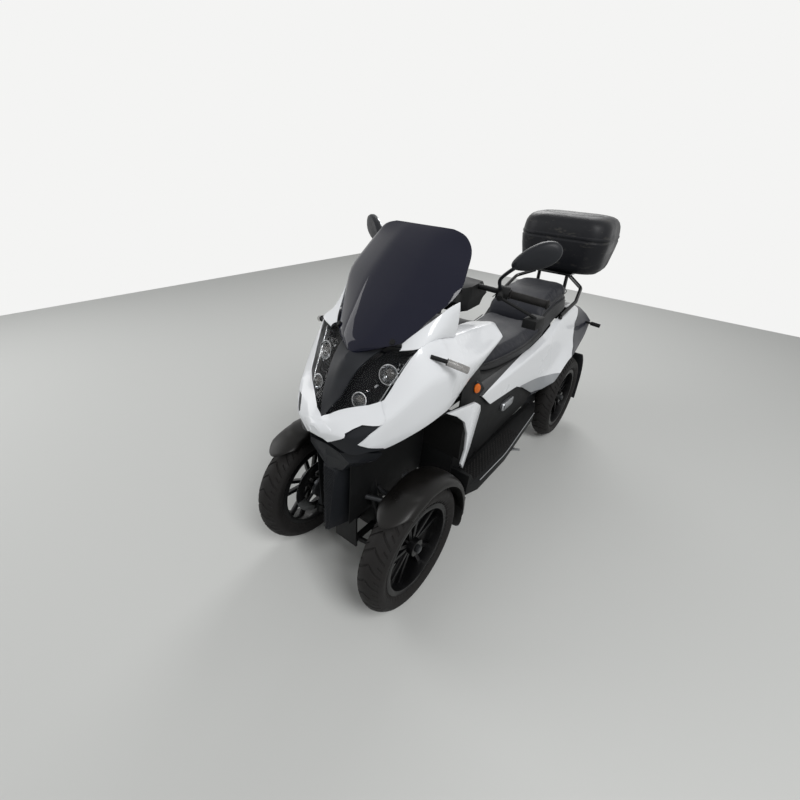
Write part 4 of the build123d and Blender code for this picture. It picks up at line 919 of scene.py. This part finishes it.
def rear_skin():
    """White bands with a silver patch at their lower edge, dark flares and tail cover, from one sheet."""
    rows = sheet_from(REAR_SECTIONS, 0)
    skin = thicken(loft("rear_skin", rows, None), SKIN_THICKNESS)
    outline = BAND_FRONT + list(reversed(BAND_REAR))
    middle = [(-186, -600), (186, -600), (186, 753), (150, 753), (150, 1100), (-150, 1100), (-150, 753),
              (-186, 753)]
    band = copy_of(skin, "white_bands")
    carve(band, prism(outline, "x", -400, 400), "INTERSECT")
    carve(band, prism(middle, "z", 600, 900), "DIFFERENCE")
    band.data.materials.append(WHITE)
    soften(band, 1.2)
    two_tone(band)
    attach(band, "chassis")
    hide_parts("side_bands")

    flare_outline = [(163, 456)] + list(reversed(BAND_REAR[:-1])) + [(1000, 850), (1000, 380), (163, 380)]
    flares = copy_of(skin, "dark_flares")
    carve(flares, prism(shifted(flare_outline, PANEL_GAP), "x", -400, 400), "INTERSECT")
    carve(flares, prism(middle, "z", 600, 900), "DIFFERENCE")
    tail = copy_of(skin, "tail_cover")
    carve(tail, prism([(-150, 753), (150, 753), (150, 954), (-150, 954)], "z", 600, 900), "INTERSECT")
    for piece in (flares, tail):
        piece.data.materials.append(FLARE_BLACK)
        soften(piece, 1.2)
    whole = join("tail_panels_finished", [flares, tail], "chassis")
    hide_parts("tail_panels")
    shade(whole)
    bpy.data.objects.remove(skin)


def two_tone(band):
    """Paints the lower rear part of each band silver grey, and the strip under the seat's front charcoal."""
    work = bmesh.new()
    work.from_mesh(band.data)
    for start, way in (((0, 60, 556), (0, 0.14, 1)), ((0, 560, 620), (0, 1, 0.1)),
                       ((240, -465, 0), (1, 0.098, 0)), ((-240, -465, 0), (-1, 0.098, 0))):
        everything = work.verts[:] + work.edges[:] + work.faces[:]
        bmesh.ops.bisect_plane(work, geom=everything, plane_co=Vector(start) * MM, plane_no=Vector(way))
    work.to_mesh(band.data)
    work.free()
    paint_where(band, PALE_GREY, lambda x, y, z: (z < 556 - 0.14 * (y - 60)
                                                  and -10 < y < 560 - 0.1 * (z - 620)))
    paint_where(band, SEAT_GREY, lambda x, y, z: (abs(x) < 240 - 0.098 * (y + 465)
                                                  and z > 684 and y < 86))
    shade(band)


rear_skin()


# Pieces that keep their CAD shape, with rounded edges and their own finishes: finish, body, edge radius
KEPT_PIECES = {
    "body_shell": (DULL_BLACK, "chassis", 2.0), "beak": (SATIN_BLACK, "chassis", 2.5),
    "snout": (SATIN_BLACK, "chassis", 2.5), "arch_trims": (WHITE, "chassis", 2.0),
    "footboards": (DULL_BLACK, "chassis", 2.0), "frame": (FRAME_PAINT, "chassis", 1.0),
    "engine": (CAST, "chassis", 2.0), "rear_arms": (CAST, "chassis", 2.0),
    "front_arms": (FRAME_PAINT, "chassis", 1.0), "struts": (FRAME_PAINT, "chassis", 1.0),
    "luggage_tub": (DULL_BLACK, "chassis", 1.5), "rack": (GLOSS_BLACK, "chassis", 2.0),
    "rear_mudguards": (SCUFFED, "chassis", 1.5), "exhaust": (STEEL, "chassis", 1.5),
    "plate_holder": (DULL_BLACK, "chassis", 1.5), "signal_lamps": (DULL_BLACK, "chassis", 1.5),
    "side_stand": (ALUMINIUM, "side_stand", 1.5),
    "knuckle_left": (CAST, "knuckle_left", 1.5), "knuckle_right": (CAST, "knuckle_right", 1.5),
    "handlebar": (FRAME_PAINT, "handlebar", 1.0), "bar_cover": (DULL_BLACK, "handlebar", 3.0),
    "controls": (DULL_BLACK, "handlebar", 2.0),
}
# Second finishes on some of them: piece, finish, and the place on the piece
SECOND_FINISHES = [
    ("signal_lamps", RED_LENS, lambda x, y, z: y > 936 and abs(x) < 264),
    ("signal_lamps", CLEAR_LENS, lambda x, y, z: y < 0 and abs(x) > 286),
    # The body shell's front, inside the arches: matt plastic whose darker colour is painted shade
    ("body_shell", ARCH_SHADE_BLACK, lambda x, y, z: y < -600),
    ("front_arms", CAST, lambda x, y, z: z > 330),
]
kept = {name: from_node(name, *finish) for name, finish in KEPT_PIECES.items()}
for name, finish, where in SECOND_FINISHES:
    paint_where(kept[name], finish, where)


def round_plate(name, middle, across, up, half_wide, half_high, thick, material, power=4, steps=40):
    """A pillow-shaped plate on a face: an outline between an oval and a rectangle with softened edges."""
    across, up = Vector(across).normalized(), Vector(up).normalized()
    out = across.cross(up)
    rows = []
    for i in range(steps + 1):
        a = 2 * math.pi * i / steps
        x = math.copysign(abs(math.cos(a)) ** (2 / power), math.cos(a)) * half_wide
        y = math.copysign(abs(math.sin(a)) ** (2 / power), math.sin(a)) * half_high
        rows.append([tuple(Vector(middle) + across * x * k + up * y * k + out * thick * d)
                     for k, d in ((0.01, 0), (1, 0), (1, 0.6), (0.94, 0.9), (0.8, 1), (0.01, 1.04))])
    return outward(loft(name, rows, material))


UPRIGHT = (0, 0, 1)
BOARD_EDGE = [(338, -560, 346), (339, -400, 346.5), (338, -297, 346), (320, -97, 346), (297, 153, 346)]


def small_side_pieces():
    """Folded pegs, amber reflectors, the footboards' edge lines, the number plate and the stand's tang."""
    pegs, reflectors, edges = [], [], []
    for side in SIDES:
        pegs.append(round_plate("peg", (side * 232.6, -150, 517), (0, side, 0), (0, 0.12, 1), 60, 23, 17,
                                ALUMINIUM, 5))
        pin = [(side * 250, -196, 506), (side * 250, -196, 528)]
        pegs.append(pipe("peg_pin", pin, 4, STEEL, bends=False))
        way = Vector((0.55, side * 0.83, 0))
        reflectors.append(round_plate("reflector", (side * 229, -512, 744), way, UPRIGHT, 15, 22, 13,
                                      AMBER, 2))
        reflectors.append(round_plate("holder", (side * 227, -511, 744), way, UPRIGHT, 19, 27, 10,
                                      SATIN_BLACK, 2))
        edges.append(pipe("edge", [(side * x, y, z) for x, y, z in BOARD_EDGE], 2.2, ALUMINIUM, sides=8))
    for name, parts, stands_for in (("pegs_finished", pegs, "pegs"), ("side_reflectors", reflectors, None),
                                    ("board_edges", edges, None)):
        whole = join(name, parts, "chassis")
        if stands_for:
            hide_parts(stands_for)
        shade(whole)
    plate = round_plate("number_plate", (0, 1034.5, 460), (-1, 0, 0), UPRIGHT, 100, 85, 3, PLATE_WHITE,
                        power=24, steps=80)
    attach(plate, "chassis")
    shade(plate)
    tang = [(286, -140, 262), (318, -136, 266), (350, -128, 274)]
    pipe("stand_tang", tang, 6, ALUMINIUM, "side_stand")


small_side_pieces()


# Repeats made by Geometry Nodes: studs on the footboards and the honeycomb of the snout
def repeat_on(name, places, shape, material, body):
    """Puts a small shape at each of a set of points, given in millimetres, and turns them into one mesh."""
    points = build(name + "_points", places, [], None)
    tree = bpy.data.node_groups.new(name + "_tree", "GeometryNodeTree")
    tree.interface.new_socket("Geometry", in_out="INPUT", socket_type="NodeSocketGeometry")
    size = tree.interface.new_socket("Stud size", in_out="INPUT", socket_type="NodeSocketFloat")
    tree.interface.new_socket("Geometry", in_out="OUTPUT", socket_type="NodeSocketGeometry")
    entry = node(tree, "NodeGroupInput")
    stud = node(tree, "GeometryNodeObjectInfo", {"Object": shape})
    laid = node(tree, "GeometryNodeInstanceOnPoints", None,
                {"Points": entry.outputs["Geometry"], "Instance": stud.outputs["Geometry"],
                 "Scale": entry.outputs["Stud size"]})
    real = node(tree, "GeometryNodeRealizeInstances", None, {"Geometry": laid.outputs["Instances"]})
    coat = node(tree, "GeometryNodeSetMaterial", {"Material": material},
                {"Geometry": real.outputs["Geometry"]})
    node(tree, "NodeGroupOutput", None, {"Geometry": coat.outputs["Geometry"]})
    maker = points.modifiers.new("repeat", "NODES")
    maker.node_group = tree
    maker[size.identifier] = 1.0
    graph = bpy.context.evaluated_depsgraph_get()
    mesh = bpy.data.meshes.new_from_object(points.evaluated_get(graph))
    mesh.name = name
    bpy.data.objects.remove(points)
    bpy.data.objects.remove(shape)
    return shade(place(name, mesh, material, body))


STUD_ROWS, STUD_COLUMNS = 34, 5
STUD_PITCH_X, STUD_PITCH_Y = 15, 14
TREAD_TOP = 344.8


def board_studs():
    """Rounded studs in staggered rows on the treads."""
    places = []
    for side in SIDES:
        for i in range(STUD_ROWS):
            for j in range(STUD_COLUMNS):
                x = 250 + STUD_PITCH_X * (j + 0.5 * (i % 2))
                y = -560 + STUD_PITCH_Y * i
                if x < 318 - max(0, y + 200) * 0.09:
                    places.append((side * x, y, TREAD_TOP))
    profile = [(0, 5), (1.6, 4.4), (2.6, 2.6), (3.0, 0.05)]
    stud = spin("stud", profile, (0, 0, 0), (0, 0, 1), RUBBER, steps=8, closed=False)
    repeat_on("footboard_studs", places, stud, RUBBER, "chassis")


board_studs()


SNOUT_FACE = [(292, 9, -172), (579.7, 30, -145)]  # height, half width and place at its foot and its top
CELL_ROWS = 33
CELL_PITCH_X, CELL_PITCH_Z = 9.7, 8.4


def snout_mesh():
    """Honeycomb rings on the snout's narrow front faces, which taper downward."""
    (low_z, low_half, low_y), (high_z, high_half, high_y) = SNOUT_FACE
    places = []
    for i in range(CELL_ROWS):
        z = low_z + 5 + CELL_PITCH_Z * i
        t = (z - low_z) / (high_z - low_z)
        half = low_half + (high_half - low_half) * t - 2
        y = FRONT_AXLE + low_y + (high_y - low_y) * t
        for j in range(-4, 5):
            x = CELL_PITCH_X * (j + 0.5 * (i % 2))
            if abs(x) <= half:
                places.append((x, y - 0.4 + 3 * abs(x) / 30, z))
    profile = [(0, 5.4), (1.6, 5.4), (1.6, 4.1), (0, 4.1)]
    ring = spin("ring", profile, (0, 0, 0), (0, -1, 0.1), SATIN_BLACK, steps=6)
    repeat_on("snout_honeycomb", places, ring, SATIN_BLACK, "chassis")


snout_mesh()


# Top case: a rounded box with moulded ribs, in scuffed plastic
CASE_MIDDLE = 1028
CASE_WALL = 4.6
CASE_BOW = 3.0
CASE_BASE = [(52, 974.4), (45, 977), (28, 998), (20, 1022), (6, 1110), (1, 1156), (0, 1164), (3, 1168),
             (3, 1176), (1, 1178.2)]
CASE_LID = [(1, 1179.4), (0, 1181), (0, 1192), (3, 1196), (3, 1200), (5, 1222), (9, 1248), (18, 1270),
            (32, 1287), (50, 1297), (72, 1302.4), (92, 1303.8), (94, 1301), (98, 1301), (100, 1304),
            (160, 1304.3)]


def case_ring(inset, height, corner=112, steps=10, half_x=273, half_y=210):
    """A rounded rectangle in plan, as large as the case less an inset."""
    wide, deep = half_x - inset, half_y - inset
    radius = max(min(corner, deep - 4), 8)
    ring = []
    for k, (sx, sy) in enumerate(((1, 1), (-1, 1), (-1, -1), (1, -1))):
        for i in range(steps + 1):
            a = math.pi / 2 * (k + i / steps)
            x = sx * (wide - radius) + radius * math.cos(a)
            y = sy * (deep - radius) + radius * math.sin(a)
            ring.append((x, CASE_MIDDLE + y * (1 - CASE_BOW / deep * (x / wide) ** 2), height))
        nx, ny = ((-1, 0), (0, -1), (1, 0), (0, 1))[k]
        length = 2 * ((wide if nx else deep) - radius)
        last = ring[-1]
        for i in range(1, 6):
            ring.append((last[0] + nx * length * i / 6, last[1] + ny * length * i / 6, height))
    return ring


def top_case():
    """The base and the lid, each a walled shell, with a raised field on the lid."""
    base = loft("case_base", [case_ring(i, z) for i, z in CASE_BASE], SCUFFED, closed=True)
    floor_ring = case_ring(*CASE_BASE[0])
    bottom = build("case_floor", floor_ring, [tuple(range(len(floor_ring) - 1, -1, -1))], SCUFFED)
    base = outward(join("case_base_finished", [base, bottom], "chassis"))
    thicken(base, CASE_WALL)
    soften(base, 1.0)
    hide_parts("top_case_base")
    lid = loft("case_lid", [case_ring(i, z) for i, z in CASE_LID], SCUFFED, closed=True)
    top_ring = case_ring(*CASE_LID[-1])
    cover = build("case_top", top_ring, [tuple(range(len(top_ring)))], SCUFFED)
    lid = outward(join("case_lid_finished", [lid, cover], "top_case_lid"))
    thicken(lid, CASE_WALL)
    soften(lid, 1.0)
    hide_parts("top_case_lid")
    shade(lid, 34)
    shade(base, 34)


top_case()


# Seat: a dark skirt under two navy pads, filled by pressure, with piping round each pad
PAD_INSET = 3      # the pads start this far inside the CAD seat's sides
PAD_MESH = 6       # spacing of the cloth's points
PAD_FRAMES = 20    # length of the cloth run
PAD_TRAVEL = 9     # the most that a point moves
PAD_FOOT = 12      # points this close to a pad's foot don't move down
SEAT_SECTIONS = [
    (-325, [(0, 742), (62, 738), (84, 718), (84, 699.5)]),
    (-215, [(0, 764), (104, 760), (146, 730), (156, 699.5)]),
    (5, [(0, 778), (138, 774), (181, 740), (184, 699.5)]),
    (165, [(0, 780), (148, 777), (182, 744), (185, 699.5)]),
    (308, [(0, 800), (146, 796), (182, 762), (185, 724.5)]),
    (368, [(0, 894), (132, 890), (164, 862), (182, 740.5)]),
    (513, [(0, 926), (134, 922), (164, 890), (180, 781.5)]),
    (693, [(0, 932), (130, 928), (158, 896), (170, 799.5)]),
    (781, [(0, 924), (96, 918), (122, 894), (128, 801.5)]),
]


def pad_from(name, sections, deep):
    """A closed pad a little inside the seat's CAD shape, whose sides go down by a depth."""
    rows = []
    for y, half in sections:
        (_, top), (flat, shoulder_top), (shoulder, rim), (_, foot) = half
        wide = shoulder - PAD_INSET
        low = max(rim - deep, foot + 6)
        half_ring = [(0, top - 6), (wide * 0.5, top - 6), (flat - 8, shoulder_top - 4), (wide - 6, rim + 8),
                     (wide, rim - 8), (wide - 2, low + 4), (wide - 10, low), (wide * 0.5, low), (0, low)]
        rows.append(ring_at(y, half_ring))
    return outward(loft(name, smoothed(rows, 6), SEAT_BLUE, closed=True, caps=True))


def puffed(pad):
    """The pad filled out by pressure in a short cloth run, with each point's travel capped."""
    modify(pad, "REMESH", mode="VOXEL", voxel_size=PAD_MESH * MM)
    bake(pad)
    start = [v.co.copy() for v in pad.data.vertices]
    low = min(v.z for v in start)
    cloth = modify(pad, "CLOTH")
    cloth.settings.quality = 5
    cloth.settings.mass = 0.3
    cloth.settings.tension_stiffness = 15
    cloth.settings.compression_stiffness = 15
    cloth.settings.shear_stiffness = 5
    cloth.settings.bending_stiffness = 0.5
    cloth.settings.use_pressure = True
    cloth.settings.uniform_pressure_force = 4.0
    cloth.settings.effector_weights.gravity = 0.0
    cloth.collision_settings.use_collision = False
    cloth.collision_settings.use_self_collision = False
    for frame_number in range(1, PAD_FRAMES + 1):
        bpy.context.scene.frame_set(frame_number)
    bake(pad)
    for vertex, first in zip(pad.data.vertices, start):
        travel = vertex.co - first
        if travel.length > PAD_TRAVEL * MM:
            travel *= PAD_TRAVEL * MM / travel.length
        if first.z < low + PAD_FOOT * MM:
            travel.z = max(travel.z, 0)
        vertex.co = first + travel
    modify(pad, "SUBSURF", levels=1, render_levels=1)
    return shade(bake(pad), 80)


def seat():
    """The skirt with its hinge barrel, the rider's pad, the raised passenger pad and the piping."""
    skirt_rows = []
    for y, half in SEAT_SECTIONS:
        (wide, rim), (foot_half, foot) = half[2:]
        edge = foot + (rim - foot) * 0.62
        ring = [(0, edge + 8), (wide - 16, edge + 6), (wide - 1, edge),
                ((wide + foot_half) / 2 + 1, (edge + foot) / 2), (foot_half, foot + 2), (foot_half - 8, foot),
                (0, foot)]
        skirt_rows.append(ring_at(y, ring))
    skirt = outward(loft("skirt", smoothed(skirt_rows, 5), SEAT_GREY, closed=True, caps=True))
    soften(skirt, 2.0)
    hinge = pipe("seat_barrel", [(-40, -336, 716), (40, -336, 716)], 8, FRAME_PAINT, bends=False)
    base = join("seat_skirt", [skirt, hinge], "seat")
    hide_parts("seat")
    shade(base)

    rider = puffed(pad_from("rider_pad", SEAT_SECTIONS[:5], 40))
    bolster_sections = [
        (330, [(0, 812), (138, 806), (172, 776), (185, 731)]),
        (356, [(0, 878), (132, 872), (164, 842), (182, 738)])] + SEAT_SECTIONS[6:]
    passenger = puffed(pad_from("passenger_pad", bolster_sections, 62))
    for pad in (rider, passenger):
        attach(pad, "seat")
    piping()


def piping():
    """Piping along the upper edge of the pads' outer faces."""
    routes = [[(side * (half[2][0] - 1.5), y, half[2][1] + 1) for y, half in sections]
              for side in SIDES for sections in (SEAT_SECTIONS[:5], SEAT_SECTIONS[5:])]
    beads = [pipe("piping", route, 2.6, SEAT_GREY, steps=10, sides=8) for route in routes]
    join("seat_piping", beads, "seat")


seat()


# Handlebar: grips with ringed ribs and end flanges, and mirrors
def grips():
    """Rubber grips with shallow rings, a flange inside and a round weight at the end."""
    pieces = []
    for side in SIDES:
        way = Vector((side * 220, 71, -29)).normalized()
        start = Vector((side * 148, -333, 1095))
        first = (215 - 148) / abs(way.x)
        last = (364 - 148) / abs(way.x)
        profile = [(first, 12), (first, 19), (first + 4, 20), (first + 7, 16)]
        count = 20
        for i in range(count):
            a = first + 12 + (last - first - 26) * i / count
            step = (last - first - 26) / count
            profile += [(a, 15.2), (a + step * 0.25, 16), (a + step * 0.8, 16), (a + step * 0.95, 15.2)]
        profile += [(last - 10, 16), (last - 7, 19.5), (last - 2, 19.5), (last, 17), (last, 0.1)]
        pieces.append(spin("grip", profile, start, way, RUBBER, steps=40, closed=False))
    whole = join("grips_finished", pieces, "handlebar")
    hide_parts("grips")
    shade(whole, 40)


MIRROR_STEM = [(190, -352, 1112), (205, -400, 1160), (290, -468, 1232), (330, -484, 1262)]


def mirrors():
    """Oval mirrors with a rounded shell, a raised rim, silvered glass and a bent stem."""
    pieces = []
    for side in SIDES:
        across = Vector((side * 0.8, 0.42, 0.42)).normalized()
        face = Vector((-side * 0.46, 0.88, 0)).normalized()
        face = (face - across * face.dot(across)).normalized()
        up = face.cross(across)
        middle = Vector((side * 357, -486, 1272))
        profile = [(14.8, 0.01), (14.8, 0.6), (14.6, 0.9), (16, 0.93), (16, 0.965), (12, 1.0), (0, 1.0),
                   (-8, 0.93), (-13, 0.76), (-15.5, 0.45), (-16, 0.01)]
        rows = []
        for i in range(57):
            a = 2 * math.pi * i / 56
            narrow = 0.8 + 0.2 * math.cos(a)
            reach = across * 84 * math.cos(a) + up * 50 * narrow * math.sin(a)
            rows.append([tuple(middle + face * d + reach * k) for d, k in profile])
        shell = outward(loft("mirror_shell", rows, SATIN_BLACK))

        def on_glass(x, y, z):
            rest = Vector((x, y, z)) - middle
            return rest.dot(face) > 14 and (rest.dot(across) / 84) ** 2 + (rest.dot(up) / 46) ** 2 < 0.84

        paint_where(shell, MIRROR, on_glass)
        pieces.append(shell)
        route = [(side * x, y, z) for x, y, z in MIRROR_STEM]
        pieces.append(pipe("stem", route, 7, SATIN_BLACK, steps=8, sides=16))
    whole = join("mirrors_finished", pieces, "handlebar")
    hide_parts("mirrors")
    shade(whole, 40)


grips()
mirrors()


# Camera at the photograph's place, solved from where the wheel hubs, the mirrors and the case appear
CAMERA_AT = Vector((0.867734, -1.913196, 1.528189))
AZIMUTH, ELEVATION, ROLL = 0.628885, 0.520987, -0.0619737
FOCAL_PIXELS = 415.855
PICTURE_SIDE = 800
FLOOR_HALF = 4600
SURROUND_LIGHT = 0.36  # strength of the even light; the camera, gloss and glass see the surround at 1
LAMPS = [  # name, place, size, watts, aim; in metres
    ("key", (3.4, -2.2, 4.6), 2.2, 185, (0, -0.4, 0.6)),
    ("fill", (-3.8, -2.4, 2.6), 2.6, 60, (0, -0.2, 0.6)),
    ("back", (-1.6, 3.8, 3.8), 2.4, 85, (0, 0.2, 0.8)),
]


def camera():
    """A perspective camera turned by azimuth, elevation and roll."""
    look = Vector((-math.sin(AZIMUTH) * math.cos(ELEVATION), math.cos(AZIMUTH) * math.cos(ELEVATION),
                   -math.sin(ELEVATION)))
    level = Vector((math.cos(AZIMUTH), math.sin(AZIMUTH), 0))
    down_level = look.cross(level)
    right = level * math.cos(ROLL) + down_level * math.sin(ROLL)
    down = down_level * math.cos(ROLL) - level * math.sin(ROLL)
    lens = bpy.data.cameras.new("camera")
    lens.sensor_width = 36
    lens.lens = FOCAL_PIXELS / PICTURE_SIDE * 36
    lens.clip_end = 100
    eye = bpy.data.objects.new("camera", lens)
    turn = Matrix((right, -down, -look)).transposed()
    eye.matrix_world = Matrix.Translation(CAMERA_AT) @ turn.to_4x4()
    bpy.context.scene.collection.objects.link(eye)
    bpy.context.scene.camera = eye


def studio():
    """A pale floor, a surround that shows as white, and three large soft lamps."""
    corners = [(x * FLOOR_HALF, y * FLOOR_HALF, 0) for x, y in ((-1, -1), (1, -1), (1, 1), (-1, 1))]
    floor = build("studio_floor", corners, [(0, 1, 2, 3)], None)
    floor.data.materials.append(new_material("studio_floor_paint", "cccdcb", 0.6)[0])
    world = bpy.data.worlds.new("studio")
    bpy.context.scene.world = world
    world.use_nodes = True
    tree = world.node_tree
    dim = tree.nodes["Background"]
    dim.inputs["Color"].default_value = linear("dcdddc")
    dim.inputs["Strength"].default_value = SURROUND_LIGHT
    white = node(tree, "ShaderNodeBackground", {"Color": linear("f4f4f3"), "Strength": 1.0})
    rays = node(tree, "ShaderNodeLightPath")
    seen = node(tree, "ShaderNodeMath", {"operation": "MAXIMUM"},
                {0: rays.outputs["Is Camera Ray"], 1: rays.outputs["Is Glossy Ray"]})
    seen = node(tree, "ShaderNodeMath", {"operation": "MAXIMUM"},
                {0: seen.outputs["Value"], 1: rays.outputs["Is Transmission Ray"]})
    mixed = node(tree, "ShaderNodeMixShader", None,
                 {0: seen.outputs["Value"], 1: dim.outputs["Background"], 2: white.outputs["Background"]})
    tree.links.new(mixed.outputs["Shader"], tree.nodes["World Output"].inputs["Surface"])
    for name, place_at, size, watts, aim in LAMPS:
        lamp = bpy.data.lights.new(name, "AREA")
        lamp.size = size
        lamp.energy = watts
        holder = bpy.data.objects.new(name, lamp)
        holder.location = place_at
        holder.rotation_euler = (Vector(aim) - Vector(place_at)).to_track_quat("-Z", "Y").to_euler()
        bpy.context.scene.collection.objects.link(holder)


camera()
studio()
bpy.context.scene.view_settings.view_transform = "Standard"


bpy.context.view_layer.update()
